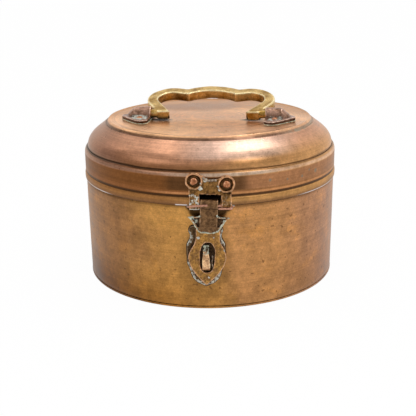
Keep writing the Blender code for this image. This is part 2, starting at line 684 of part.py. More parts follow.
def bail_frame():
    """Where the bail's pivot line lies: its middle, and the way it is turned."""
    middle = Vector((BAIL_X, BAIL_Y, DISC_Z + BAIL_PIVOT_LIFT))
    return Matrix.Translation(middle) @ Matrix.Rotation(BAIL_TURN, 4, "Z")


def make_handle():
    """The three-lobed bail with inward heels and two pivot rods, modelled flat and leaned back."""
    outline = strip(bail_path(), BAIL_W)
    bail = prism("handle", outline, -BAIL_T / 2, BAIL_T / 2, FINISHES["handle"], across="Z")
    reach = (BAIL_REACH + BAIL_W) * 2
    below = [(-reach, -BAIL_HEEL_DROP), (reach, -BAIL_HEEL_DROP), (reach, -reach), (-reach, -reach)]
    cut(bail, prism("cutter", below, -BAIL_T, BAIL_T, FINISHES["handle"], across="Z"))
    bm = bmesh.new()
    bm.from_mesh(bail.data)
    corners = []
    for edge in bm.edges:
        level = abs(edge.verts[0].co.z - edge.verts[1].co.z) < GAP
        if level and edge.calc_face_angle(0) > BAIL_CORNER_ANGLE:
            corners.append(edge)
    bmesh.ops.bevel(bm, geom=corners, offset=BAIL_EDGE, segments=2, profile=0.5, affect="EDGES",
                    clamp_overlap=True)
    bm.to_mesh(bail.data)
    bm.free()
    for hand in (-1, 1):
        start = hand * (SADDLE_INNER_U + SADDLE_ROD_L)
        end = hand * (BAIL_LOBE_U + BAIL_W / 2)
        rod = cylinder_cutter(((start + end) / 2, 0, 0), (hand, 0, 0), BAIL_ROD_R, abs(start - end))
        join(bail, rod)
    bail.matrix_world = bail_frame() @ Matrix.Rotation(BAIL_REST, 4, "X")
    return bail


def saddle_height(across):
    """The saddle plate thins from the hump to the tips of its wings."""
    root = BAIL_ROD_R + SADDLE_HUMP_WALL
    share = max((abs(across) - root) / (SADDLE_WING - root), 0)
    return SADDLE_ROOT_T + (SADDLE_EDGE_T - SADDLE_ROOT_T) * min(share, 1)


def make_hump(hand):
    """The hollow hump over the rod, rounded down at its outer end."""
    bm = bmesh.new()
    outer = BAIL_ROD_R + SADDLE_BORE_CLEARANCE + SADDLE_HUMP_WALL
    lift = BAIL_PIVOT_LIFT - GAP
    round_from = SADDLE_HUMP_L - outer
    rings = []
    for place in [0, round_from] + [round_from + outer * s for s in HUMP_END_SHARES]:
        share = math.sqrt(max(1 - ((place - round_from) / outer) ** 2, 0)) if place > round_from else 1
        wide = outer * share
        high = (lift + outer) * (0.45 + 0.55 * share)
        spring = high * lift / (lift + outer)
        ring = [(-wide, 0)]
        for step in range(ARC_STEPS):
            angle = math.pi * step / (ARC_STEPS - 1)
            ring.append((-wide * math.cos(angle), spring + (high - spring) * math.sin(angle)))
        ring.append((wide, 0))
        rings.append([bm.verts.new((hand * (SADDLE_INNER_U + place), w, h)) for w, h in ring])
    for near, far in zip(rings, rings[1:]):
        for step in range(len(near)):
            after = (step + 1) % len(near)
            bm.faces.new((near[step], near[after], far[after], far[step]))
    bm.faces.new(rings[0])
    bm.faces.new(rings[-1])
    return add_object("hump", bm, FINISHES["saddle"])


def make_saddle(side_name, hand, dome):
    """A cast saddle: wings front and back, a hump over the rod, and two rivets."""
    half = []
    for along, wide in SADDLE_HALF_SHARES:
        half.append((hand * (SADDLE_INNER_U + SADDLE_L * along), SADDLE_WING * wide))
    outline = half + [(u, -w) for u, w in half[:0:-1]]
    name = f"saddle_{side_name}"
    saddle = prism(name, outline, 0, SADDLE_ROOT_T, FINISHES["saddle"], across="Z")
    bm = bmesh.new()
    bm.from_mesh(saddle.data)
    root = BAIL_ROD_R + SADDLE_HUMP_WALL
    for line in (-root, 0, root):
        bmesh.ops.bisect_plane(bm, geom=bm.verts[:] + bm.edges[:] + bm.faces[:], plane_co=(0, line, 0),
                               plane_no=(0, 1, 0))
    bmesh.ops.triangulate(bm, faces=bm.faces)
    for vertex in bm.verts:
        if vertex.co.z > 0:
            vertex.co.z = saddle_height(vertex.co.y)
    bm.to_mesh(saddle.data)
    bm.free()
    join(saddle, make_hump(hand))
    bore_r = BAIL_ROD_R + SADDLE_BORE_CLEARANCE
    lift = BAIL_PIVOT_LIFT - GAP
    start = hand * (SADDLE_INNER_U - OVERRUN)
    end = hand * (SADDLE_INNER_U + SADDLE_BORE_L)
    bore = [(-bore_r, -OVERRUN)] + arc((0, lift), bore_r, math.pi, 0, ARC_STEPS - 1) + [(bore_r, -OVERRUN)]
    cut(saddle, prism("cutter", bore, min(start, end), max(start, end), FINISHES["saddle"], across="X"))
    place = Matrix.Translation((BAIL_X, BAIL_Y, DISC_Z + GAP)) @ Matrix.Rotation(BAIL_TURN, 4, "Z")
    saddle.data.transform(place)
    for wing_name, wing in (("front", -1), ("back", 1)):
        along = hand * (SADDLE_INNER_U + SADDLE_RIVET_U)
        across = wing * SADDLE_RIVET_W
        seat = place @ Vector((along, across, saddle_height(SADDLE_RIVET_W) + GAP))
        for wall in (saddle, dome):
            cut(wall, cylinder_cutter(seat, (0, 0, 1), SADDLE_SHANK_R + GAP, OVERRUN * 4))
        stack = seat.z - DISC_Z + LID_SHEET + GAP
        head = (SADDLE_HEAD_R, SADDLE_HEAD_H, SADDLE_SHANK_R)
        rivet(f"{name}_rivet_{wing_name}", seat, (0, 0, 1), head, stack, FINISHES["saddle"])
    return saddle


def pivot_empty(name, place):
    """An empty on a joint's axis, for the pieces that turn about it."""
    empty = bpy.data.objects.new(name, None)
    empty.location = place
    bpy.context.collection.objects.link(empty)
    return empty


def hang(names, empty, offset):
    """Hangs pieces on a joint's empty without moving them."""
    for name in names:
        piece = bpy.data.objects[name]
        piece.parent = empty
        piece.matrix_parent_inverse = Matrix.Translation(offset).inverted()


def main():
    for old in list(bpy.data.objects):
        bpy.data.objects.remove(old)
    for key, look in FINISH_LOOKS.items():
        FINISHES[key] = material(*look)
    drum = make_drum()
    band = make_band()
    dome = make_dome()
    front, front_seats = make_upper_leaf("hasp_leaf", -1, FRONT_LEAF_TILT, FINISHES["hardware"])
    back, back_seats = make_upper_leaf("hinge_leaf_upper", 1, 0, FINISHES["hardware"])
    seat_out = LEAF_R + LEAF_SHEET - LOBE_RECESS_DEPTH + GAP
    stack = seat_out - SKIRT_R + LID_SHEET + GAP
    rivet_leaf("hasp_leaf_rivet", front_seats, -1, stack, seat_out, [band, dome], LEAF_HEAD)
    rivet_leaf("hinge_rivet_upper", back_seats, 1, stack, seat_out, [band, dome], LEAF_HEAD)
    make_lower_leaf(drum)
    make_pins()
    make_hasp()
    make_staple(drum)
    make_handle()
    for side_name, hand in (("left", -1), ("right", 1)):
        make_saddle(side_name, hand, dome)
    lid_axis = pivot_empty("lid_axis", (0, PIN_Y, PIN_Z))
    hasp_axis = pivot_empty("hasp_axis", (0, -PIN_Y, PIN_Z))
    hasp_axis.parent = lid_axis
    hasp_axis.matrix_parent_inverse = Matrix.Translation((0, PIN_Y, PIN_Z)).inverted()
    hang(("hasp_strap", "hasp_plate", "hasp_strap_rivet"), hasp_axis, (0, -PIN_Y, PIN_Z))
    on_lid = ["lid_band", "lid_dome", "hasp_leaf", "hasp_leaf_rivet_left", "hasp_leaf_rivet_right"]
    on_lid += ["hasp_pin", "hinge_leaf_upper", "hinge_rivet_upper_left", "hinge_rivet_upper_right", "handle"]
    for side_name in ("left", "right"):
        saddle_name = f"saddle_{side_name}"
        on_lid += [saddle_name, f"{saddle_name}_rivet_front", f"{saddle_name}_rivet_back"]
    hang(on_lid, lid_axis, (0, PIN_Y, PIN_Z))


main()
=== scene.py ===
"""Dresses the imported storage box: turned brass shells, forged hasp work and a cast bail handle."""

import math

import bmesh
import bpy
import numpy as np
from mathutils import Matrix, Vector, noise


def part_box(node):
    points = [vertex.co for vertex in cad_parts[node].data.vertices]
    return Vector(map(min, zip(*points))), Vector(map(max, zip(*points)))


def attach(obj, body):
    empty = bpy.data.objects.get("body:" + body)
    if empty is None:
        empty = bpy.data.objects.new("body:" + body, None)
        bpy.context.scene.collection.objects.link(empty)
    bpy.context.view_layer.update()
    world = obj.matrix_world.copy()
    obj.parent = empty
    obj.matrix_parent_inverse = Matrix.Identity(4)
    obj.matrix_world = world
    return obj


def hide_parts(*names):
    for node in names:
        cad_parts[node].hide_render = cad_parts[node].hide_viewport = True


bl_info = {
    "name": "Brass storage box",
    "version": (1, 0, 0),
    "blender": (4, 5, 0),
    "location": "3D View > Sidebar > Brass box",
    "description": "Makes a round brass storage box with a hasp, a staple and a bail handle",
    "category": "Object",
}

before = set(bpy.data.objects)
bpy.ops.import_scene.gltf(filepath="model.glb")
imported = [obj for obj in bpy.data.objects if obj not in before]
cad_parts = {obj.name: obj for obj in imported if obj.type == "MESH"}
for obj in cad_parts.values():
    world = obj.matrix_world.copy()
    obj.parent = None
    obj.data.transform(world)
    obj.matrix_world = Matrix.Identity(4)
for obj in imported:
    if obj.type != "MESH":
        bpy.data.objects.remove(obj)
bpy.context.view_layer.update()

MM = 0.001
GAP = 0.3 * MM
BASE_TOP_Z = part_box("base_disc")[1].z
WALL_FOOT_Z, RIM_Z = (corner.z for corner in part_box("drum_wall"))
COLLAR_LOW_Z, COLLAR_TOP_Z = (corner.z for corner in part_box("mouth_collar"))
BAND_TOP_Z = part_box("lid_band")[1].z
DOME_FOOT_Z, DOME_TOP_Z = (corner.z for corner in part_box("lid_dome"))
HASP_X = -1.0 * MM
HASP_LEAN = math.radians(2.4)
BAIL_TURN = math.radians(-7.0)
BAIL_REST = math.radians(15.0)
# Blender's vector noise is offset by its seed, which is the time of day if none is set
NOISE_SEED = 1
HALF_TURN = Matrix.Rotation(math.pi, 4, "Z")
CURL_RADIUS, CURL_SHEET = 1.85 * MM, 1.3 * MM

# Outlines as shares of the piece's half width and of its height, from the top down
PLATE_HALF = (
    (0.00, 1.00), (0.22, 0.98), (0.31, 1.00), (0.38, 1.12), (0.47, 1.38), (0.54, 1.51), (0.60, 1.54),
    (0.68, 1.44), (0.77, 1.18), (0.86, 0.80), (0.94, 0.38), (1.00, 0.00),
)
STAPLE_PLATE_HALF = (
    (0.00, 0.66), (0.02, 0.82), (0.08, 0.89), (0.16, 0.80), (0.24, 0.88), (0.32, 1.00), (0.48, 1.00),
    (0.62, 0.97), (0.72, 0.84), (0.84, 0.72), (0.93, 0.48), (0.97, 0.20), (1.00, 0.00),
)
STRAP_FOOT = ((1.00, 0.00), (0.80, 0.16), (0.58, 0.62), (0.48, 0.84), (0.34, 0.96), (0.16, 1.00))
SADDLE_HALF = ((0.00, 0.86), (0.10, 0.97), (0.26, 1.00), (0.50, 0.80), (1.00, 0.10))

# Spots on the shells, as a middle and a reach: verdigris, and painted shadows under each heel of the bail and
# behind the hasp
LID_SPOTS = (
    ((0.0774, -0.0624, 0.0935), 0.0024), ((0.0663, -0.0740, 0.0924), 0.0017),
    ((0.0550, -0.0829, 0.0925), 0.0014), ((0.0421, -0.0900, 0.0939), 0.0017),
    ((0.0720, -0.0685, 0.0955), 0.0013),
)
HEEL_SHADOWS = ((-0.0375, -0.0135, 0.1228), (-0.0425, -0.0120, 0.1228), (0.0330, -0.0185, 0.1228))
HASP_SHADOWS = (
    ((-0.0108, -0.0983, 0.0745), 0.0062), ((0.0078, -0.0986, 0.0750), 0.0058),
    ((-0.0135, -0.0980, 0.0775), 0.0050), ((0.0115, -0.0980, 0.0770), 0.0048),
)

# Spots of crust on the hasp's pieces in mm, as (across, up, reach)
LEAF_SPOTS = (
    (-3.2, 17.4, 1.5), (-6.8, 11.8, 1.5), (-6.4, 14.6, 1.0), (-11.2, -2.6, 2.0), (-9.0, 5.0, 1.2),
    (6.2, 10.6, 1.1), (5.4, 13.0, 0.9),
)
STRAP_SPOTS = ((-12.8, -10.6, 4.2), (9.6, -11.8, 1.6), (11.9, -10.2, 1.4))
PLATE_SPOTS = ((9.6, 45.6, 1.3), (-1.6, 25.6, 1.1), (-9.0, 55.5, 1.4), (2.0, 55.8, 1.0))
SCALLOP_SPOTS = (
    (-14.9, 53.0, 4.2), (-15.4, 57.5, 2.2), (-16.2, 34.5, 2.6), (-14.0, 30.5, 3.4), (-11.0, 26.4, 4.6),
    (-7.4, 21.2, 3.6), (3.8, 24.9, 4.4), (7.0, 29.5, 2.8), (0.4, 20.6, 3.0), (8.4, 57.0, 4.0),
    (8.9, 51.5, 2.6),
)

# The pale line of crust between the leaf's lobes in mm, as (across, up) from the pin
LEAF_CRUST = ((-5.4, 19.2), (-3.6, 17.9), (-1.6, 17.1), (0.8, 17.1), (2.6, 17.4), (4.4, 17.2))

# The rolled step round the disc, as shares of its run inwards and of its rise
ROLLED_STEP = (
    (0.02, 0.0), (0.14, 0.26), (0.34, 0.52), (0.52, 0.80), (0.70, 0.95), (0.88, 1.0), (1.05, 0.97),
    (1.3, 0.88),
)


def length(name, text, size):
    """A length in millimetres, stored in metres."""
    return bpy.props.FloatProperty(name=name, description=text, default=size * MM, unit="LENGTH")


def tone(name, text, colour):
    return bpy.props.FloatVectorProperty(name=name, description=text, subtype="COLOR", size=3, default=colour)


class ShellSizes(bpy.types.PropertyGroup):
    lid_radius: length("Lid radius", "Outer radius of the lid's straight side", 99.5)
    drum_radius: length("Drum radius", "Outer radius of the drum at its mouth", 99.1)
    drum_taper: length("Drum taper", "How much less the drum's radius is at its foot", 0.6)
    bead_proud: length("Bead", "How far the rolled bead stands out of the lid's side", 0.5)
    disc_radius: length("Disc radius", "Radius of the step round the lid's flat disc", 81.3)
    sheet: length("Sheet", "Thickness of the lid's sheet", 1.0)
    wall: length("Wall", "Thickness of the drum's wall", 1.2)
    sides: bpy.props.IntProperty(
        name="Sides", description="Steps round each turned shell", default=240, min=48, max=720)


class HardwareSizes(bpy.types.PropertyGroup):
    leaf_radius: length("Leaf seat", "Radius on which the two upper leaves lie", 100.4)
    leaf_sheet: length("Leaf sheet", "Thickness of the leaves", 1.3)
    pin_y: length("Pin distance", "Distance of both pins from the middle", 105.1)
    pin_z: length("Pin height", "Height of both pins", 79.9)
    pin_radius: length("Pin radius", "Radius of the pins' wire", 0.75)
    rivet_radius: length("Rivet head", "Radius of a leaf rivet's head", 2.8)
    strap_width: length("Strap width", "Width of the hasp's front strap", 12.3)


class HandleSizes(bpy.types.PropertyGroup):
    bar_width: length("Bar width", "Width of the bail's bar", 8.6)
    bar_height: length("Bar height", "Height of the bail's bar", 6.6)
    reach: length("Reach", "From the pivot line to the middle of the bail's bar", 41.4)
    rod_radius: length("Rod radius", "Radius of the two pivot rods", 3.2)
    pivot_lift: length("Pivot lift", "Height of the pivot line over the disc", 4.7)
    saddle_inner: length("Saddle distance", "From the middle to each saddle's inner end", 44.5)


class Finishes(bpy.types.PropertyGroup):
    body_gold: tone("Rubbed brass", "Where the drum is rubbed bright", (0.66, 0.335, 0.092))
    body_brown: tone("Brown patina", "Where the drum's patina is thick", (0.36, 0.175, 0.066))
    body_tan: tone("Tan patina", "The drum's colour to the right of the hasp", (0.55, 0.270, 0.100))
    lid_pink: tone("Lid copper", "The lid's pinkish colour", (0.58, 0.300, 0.180))
    handle_yellow: tone("Handle brass", "The handle's yellow brass", (0.70, 0.48, 0.185))


# Node trees

class Field:
    """The output of a node, which can be reckoned with; field[key] is another output of the same node."""

    def __init__(self, socket):
        self.socket, self.tree = socket, socket.id_data

    def __getitem__(self, key):
        return Field(self.socket.node.outputs[key])

    def reckon(self, kind, first, second):
        return node(self.tree, "ShaderNodeMath", {"operation": kind}, _0=first, _1=second)

    def __add__(self, other):
        return self.reckon("ADD", self, other)

    def __sub__(self, other):
        return self.reckon("SUBTRACT", self, other)

    def __rsub__(self, other):
        return self.reckon("SUBTRACT", other, self)

    def __mul__(self, other):
        return self.reckon("MULTIPLY", self, other)

    __radd__, __rmul__ = __add__, __mul__

    def at_least(self, *others):
        """The largest of this and some others."""
        most = self
        for other in others:
            most = self.reckon("MAXIMUM", most, other)
        return most

    def ranged(self, low, high, to_low=0.0, to_high=1.0):
        """Maps a range softly onto another."""
        return node(self.tree, "ShaderNodeMapRange", {"interpolation_type": "SMOOTHSTEP"}, Value=self,
                    From_Min=low, From_Max=high, To_Min=to_low, To_Max=to_high)

    def between(self, low, high, soft):
        """1 from low to high, falling to 0 over the soft distance outside."""
        return self.ranged(low - soft, low) * self.ranged(high + soft, high)

    def times(self, colour):
        """This colour multiplied by another."""
        return mix(1.0, self, colour, "MULTIPLY")

    def shaded(self, *shades):
        """This colour made darker or lighter by some numbers."""
        shade = math.prod(shades[1:], start=shades[0])
        return self.times(node(self.tree, "ShaderNodeCombineColor", Red=shade, Green=shade, Blue=shade))


def node(tree, kind, settings=None, **sockets):
    """Adds a node with its settings, and feeds its sockets by name, or as _0, _1 by number."""
    made = tree.nodes.new(kind)
    for key, value in (settings or {}).items():
        setattr(made, key, value)
    for key, value in sockets.items():
        feed(made.inputs[int(key[1:])] if key[0] == "_" else made.inputs[key.replace("_", " ")], value)
    return Field(made.outputs[0])


def feed(socket, value):
    """Links a field to a socket, or sets the socket's value."""
    if isinstance(value, Field):
        socket.id_data.links.new(value.socket, socket)
    else:
        socket.default_value = (*value[:3], 1.0) if socket.type == "RGBA" else value


def mix(share, first, second, mode="MIX"):
    """The first colour, or the second where the share is 1."""
    tree = next(given.tree for given in (share, first) if isinstance(given, Field))
    settings = {"data_type": "RGBA", "blend_type": mode}
    return node(tree, "ShaderNodeMix", settings, _0=share, _6=first, _7=second)[2]


def cloud(place, scale, detail=3.0, rough=0.55):
    return node(place.tree, "ShaderNodeTexNoise", Vector=place, Scale=scale, Detail=detail, Roughness=rough)


def shifted(place, offset, scale=(1, 1, 1)):
    return node(place.tree, "ShaderNodeMapping", Vector=place, Location=offset, Scale=scale)


def size_of(vector):
    return node(vector.tree, "ShaderNodeVectorMath", {"operation": "LENGTH"}, _0=vector)["Value"]


def dab(place, centre, reach, soft=0.6):
    """1 near a spot of the piece, falling to 0 at its reach."""
    away = node(place.tree, "ShaderNodeVectorMath", {"operation": "DISTANCE"}, _0=place, _1=centre)["Value"]
    return away.ranged(reach * soft, reach, 1.0, 0.0)


def start_material(name):
    made = bpy.data.materials.new(name)
    made.use_nodes = True
    tree = made.node_tree
    return made, tree.nodes["Principled BSDF"].inputs, node(tree, "ShaderNodeTexCoord")["Object"]


def finish_surface(surface, colour, rough, height, depth, crust=None, crust_colour=None):
    """Feeds colour, roughness and bump, with a dull crust over the metal where there is one."""
    metallic = 1.0
    if crust is not None:
        colour = mix(crust, colour, crust_colour)
        rough = rough.at_least(crust * 0.75)
        metallic = 1.0 - crust * 0.9
    bump = node(height.tree, "ShaderNodeBump", Strength=0.5, Distance=depth, Height=height)
    feed(surface["Metallic"], metallic)
    feed(surface["Base Color"], colour)
    feed(surface["Roughness"], rough)
    feed(surface["Normal"], bump)


def patina_clouds(place, shift):
    """The noises that both turned metals share: broad, mottle, speckle and grain."""
    x, y, z = shift
    return (
        cloud(shifted(place, (x, y, z)), 17.0, 4.0, 0.6), cloud(shifted(place, (z, y, x)), 75.0, 7.0, 0.72),
        cloud(shifted(place, (y, z, x)), 320.0, 4.0, 0.75), cloud(place, 1100.0, 2.0, 0.7),
    )


def drum_brass():
    """Golden brown drum: brown at the left, rubbed gold, tan at the right, darker at its foot, with painted
    shade round the hasp and under the lid.
    """
    looks = bpy.context.scene.box_finishes
    made, surface, place = start_material("drum_brass")
    part = node(place.tree, "ShaderNodeSeparateXYZ", Vector=place)
    across, height = part["X"], part["Z"]
    broad, mottle, speckle, grain = patina_clouds(place, (0.31, 0.05, 0.12))
    lines = cloud(shifted(place, (0, 0, 0), (9.0, 9.0, 1300.0)), 1.0, 4.0, 0.65)
    rings = cloud(shifted(place, (0, 0, 0.3), (4.0, 4.0, 260.0)), 1.0, 3.0, 0.6)
    # Broad colours from left to right, then thick and rubbed patches and the dark foot
    spread = across + (broad - 0.5) * 0.06
    colour = mix(spread.ranged(-0.072, -0.030), looks.body_brown, looks.body_gold)
    colour = mix(spread.ranged(-0.006, 0.022), colour, looks.body_tan)
    colour = mix(spread.ranged(0.044, 0.086), colour, (0.48, 0.240, 0.120))
    thick = (broad * 0.6 + mottle * 0.4).ranged(0.40, 0.60, 1.0, 0.0)
    colour = mix(thick * 0.75, colour, colour.times((0.72, 0.70, 0.72)))
    bright = cloud(shifted(place, (0.4, 0.9, 0.2), (1.0, 1.0, 1.5)), 48.0, 6.0, 0.7).ranged(0.52, 0.70)
    colour = mix(bright * 0.75, colour, colour.times((1.30, 1.24, 1.00)))
    colour = colour.shaded(mottle.ranged(0.30, 0.72, 0.83, 1.17))
    foot = height.ranged(0.040, 0.0) * across.ranged(-0.050, 0.030, 1.0, 0.20)
    colour = mix(foot, colour, colour.times((0.50, 0.42, 0.32)))
    colour = colour.shaded(
        speckle.ranged(0.28, 0.75, 0.86, 1.14), grain.ranged(0.28, 0.74, 0.88, 1.12),
        lines.ranged(0.30, 0.70, 0.92, 1.08), rings.ranged(0.3, 0.7, 0.95, 1.05))
    # Painted shade round the hasp plate, a painted shadow line under the lid, painted shadows behind the
    # hasp's legs, and black specks
    away = size_of(shifted(place, (0.0035, 0.0, -0.0225), (1.0, 0.0, 0.56))) + (mottle - 0.5) * 0.010
    painted_plate_shade = away.ranged(0.0215, 0.0135) * part["Y"].ranged(0.0, -0.05)
    soot_and_shade = (painted_plate_shade * 0.28).at_least(height.between(0.0775, 0.0790, 0.0016) * 0.35)
    colour = mix(soot_and_shade, colour, (0.045, 0.022, 0.010))
    # Painted shadows, nearly black, behind the hasp's legs
    behind, *others = [dab(place, spot, reach, 0.5) for spot, reach in HASP_SHADOWS]
    colour = mix(behind.at_least(*others) * 0.92, colour, (0.020, 0.010, 0.005))
    specks = cloud(shifted(place, (0.9, 0.1, 0.6)), 300.0, 1.0, 0.5).ranged(0.69, 0.74)
    colour = mix(specks * 0.55, colour, (0.10, 0.045, 0.02))
    rough = (mottle + speckle * 0.5).ranged(0.5, 1.1, 0.36, 0.52)
    finish_surface(surface, colour, rough, lines * 0.35 + grain * 0.7, 0.00007)
    return made


def lid_brass():
    """Pinkish brown lid: pale disc with painted reflection and shadows, dome browner downwards, dark side
    with a pale powdery shoulder and painted highlights, and a gold bead.
    """
    looks = bpy.context.scene.box_finishes
    made, surface, place = start_material("lid_brass")
    part = node(place.tree, "ShaderNodeSeparateXYZ", Vector=place)
    across, front, height = part["X"], part["Y"], part["Z"]
    broad, mottle, speckle, grain = patina_clouds(place, (0.15, 0.42, 0.77))
    out = size_of(shifted(place, (0, 0, 0), (1.0, 1.0, 0.0)))
    turning = node(place.tree, "ShaderNodeCombineXYZ", X=out * 700.0, Y=height * 900.0, Z=across * 9.0)
    lines = cloud(turning, 1.0, 4.0, 0.65)
    right = (across + broad * 0.03).ranged(-0.02, 0.055)
    # The dome, from the step down to its foot
    low = (height + mottle * 0.006).ranged(0.1225, 0.1090)
    colour = mix(low, looks.lid_pink, mix(right, (0.36, 0.155, 0.068), (0.64, 0.330, 0.130)))
    colour = mix(across.ranged(-0.050, -0.078), colour, (0.34, 0.165, 0.100))
    lifted = across.between(-0.050, 0.002, 0.018) * height.ranged(0.104, 0.109)
    colour = mix(lifted * 0.45, colour, (0.68, 0.350, 0.215))
    # The disc, browner to the back and at its far sides: a painted reflection of darker surroundings
    flat = mix(broad.ranged(0.42, 0.60), (0.76, 0.420, 0.230), (0.90, 0.520, 0.270))
    sideways = (across.reckon("ABSOLUTE", across, 0.0) - 0.045).at_least(0.0)
    flat = mix((front + sideways).ranged(0.014, 0.042, 0.0, 0.75), flat, (0.44, 0.190, 0.055))
    disc = out.ranged(0.0815, 0.0795)
    colour = mix(disc, colour, flat)
    # Dust haze and a painted highlight on the dome's crest, at the front and right of the middle
    haze_and_highlight = height.between(0.1120, 0.1190, 0.0040) * front.ranged(-0.02, -0.06)
    haze_and_highlight = haze_and_highlight * across.between(0.0, 0.040, 0.030)
    colour = mix(haze_and_highlight * 0.45, colour, (0.66, 0.52, 0.45))
    # The straight side, with a painted highlight line over the groove, a shoulder of dust and painted
    # highlight, and a golden bead painted darker below as shade
    side = height.ranged(0.0995, 0.0983)
    brown = mix(right, (0.215, 0.082, 0.024), (0.41, 0.190, 0.085))
    brown = mix(across.between(-0.026, 0.020, 0.010) * 0.8, brown, (0.100, 0.046, 0.018))
    lighter = mix(right, (0.27, 0.105, 0.035), (0.36, 0.165, 0.065))
    brown = mix(height.between(0.0864, 0.0885, 0.0012), brown, lighter)
    colour = mix(side, colour, brown)
    # A painted highlight line over the groove
    lit = height.between(0.0867, 0.0876, 0.0006) * across.ranged(-0.055, -0.020)
    colour = mix(lit * 0.75, colour, (0.66, 0.300, 0.120))
    # Dust and a painted highlight on the shoulder
    shoulder_dust_and_highlight = height.between(0.0997, 0.1011, 0.0008) * out.ranged(0.0955, 0.0965)
    shoulder_dust_and_highlight = shoulder_dust_and_highlight * mottle.ranged(0.30, 0.55, 0.25, 0.8)
    dust_and_highlight_colour = mix(across.ranged(-0.05, 0.01), (0.36, 0.20, 0.13), (0.70, 0.55, 0.43))
    colour = mix(shoulder_dust_and_highlight, colour, mix(across.ranged(0.035, 0.055), dust_and_highlight_colour, (0.72, 0.46, 0.30)))
    gold = mix(across.ranged(-0.04, 0.01), (0.34, 0.155, 0.050), (0.58, 0.30, 0.105))
    # Painted shade: the bead darker towards its underside
    gold = mix(height.ranged(0.0825, 0.0795, 0.0, 0.65), gold, (0.20, 0.095, 0.045))
    colour = mix(height.ranged(0.0850, 0.0842), colour, gold)
    calm = node(place.tree, "ShaderNodeMix", {"data_type": "FLOAT"}, _0=across.ranged(-0.01, -0.05, 0.0, 0.7),
                _2=mottle.ranged(0.30, 0.72, 0.80, 1.18), _3=1.0)
    colour = colour.shaded(calm, speckle.ranged(0.28, 0.75, 0.88, 1.12), lines.ranged(0.30, 0.70, 0.86, 1.12),
                           grain.ranged(0.28, 0.74, 0.90, 1.10))
    # Dark seams, painted shadows under each heel and the bar of the bail, and painted shade behind the window
    # in the leaf
    wavy = height + (broad - 0.5) * 0.003
    foot = wavy.ranged(0.1078, 0.1030, 0.0, 0.40) * (
        height.ranged(0.1018, 0.1024) * across.ranged(-0.01, 0.03, 1.0, 0.4))
    seam = wavy.between(0.1024, 0.1033, 0.0009).at_least(foot) * across.ranged(-0.02, 0.03, 0.9, 0.6)
    # A painted shadow line at the foot of the disc's step
    step = out.between(0.0807, 0.0822, 0.0005) * mottle.ranged(0.3, 0.6, 1.0, 0.75)
    step = step * across.ranged(0.0, 0.03, 1.0, 0.6)
    # Painted shadows on the disc under each heel of the bail
    squashed = shifted(place, (0, 0, 0), (0.75, 1.5, 1.0))
    heel, *others = [dab(squashed, (x * 0.75, y * 1.5, z), 0.0080, 0.45) for x, y, z in HEEL_SHADOWS]
    on_top = height.ranged(0.1222, 0.1225)
    painted_heel_shadows = on_top * 0.95 * heel.at_least(*others)
    # Dark seams and groove, painted shade under the bead, the step's painted shadow line and the painted heel
    # shadows
    dark = seam.at_least(height.between(0.0845, 0.0858, 0.0007) * 0.85, height.ranged(0.0800, 0.0786) * 0.35,
                         step * 0.8, painted_heel_shadows)
    colour = mix(dark, colour, (0.050, 0.024, 0.011))
    # Painted shade: near black on the side behind the window in the leaf
    colour = mix(dab(place, (-0.0006, -0.0998, 0.0845), 0.0100, 0.75), colour, (0.008, 0.005, 0.003))
    # A painted shadow of the bail's bar on the disc
    shade = size_of(shifted(place, (0.010, -0.084, 0.0), (1.0, 2.0, 0.0)))
    painted_bail_shadow = (shade + broad * 0.04).ranged(0.066, 0.040) * disc * on_top
    colour = mix(painted_bail_shadow * 0.55, colour, (0.24, 0.105, 0.055))
    feed(surface["Specular Tint"], (0.97, 0.90, 0.83))
    # Verdigris: spots on the side, the step at the right and the dust under the bead; the painted heel
    # shadows are dull and near black too
    green = out.between(0.0810, 0.0824, 0.0008) * across.ranged(0.046, 0.062)
    green = green * cloud(place, 190.0, 4.0, 0.7).ranged(0.42, 0.58, 0.0, 0.8)
    colour = mix(green * 0.7, colour, (0.33, 0.33, 0.25))
    spot, *others = [dab(place, middle, reach, 0.2) for middle, reach in LID_SPOTS]
    crust = (spot.at_least(*others) * speckle.ranged(0.30, 0.50) * 0.65).at_least(painted_heel_shadows * 0.8)
    crust_colour = mix(painted_heel_shadows, (0.10, 0.15, 0.12), (0.030, 0.015, 0.008))
    streak = height.between(0.0784, 0.0791, 0.0003) * across.between(-0.0240, -0.0170, 0.0012)
    far_side = across.ranged(0.060, 0.075).at_least(across.ranged(-0.070, -0.080))
    lime = height.between(0.0784, 0.0790, 0.0004) * far_side
    colour = mix(lime.at_least(streak * front.ranged(0.0, -0.05)), colour, (0.70, 0.62, 0.60))
    rough = (mottle + lines * 0.4).ranged(0.4, 1.0, 0.25, 0.36) + side * 0.10
    finish_surface(surface, colour, rough, lines * 0.35 + grain * 0.55, 0.00006, crust, crust_colour)
    return made


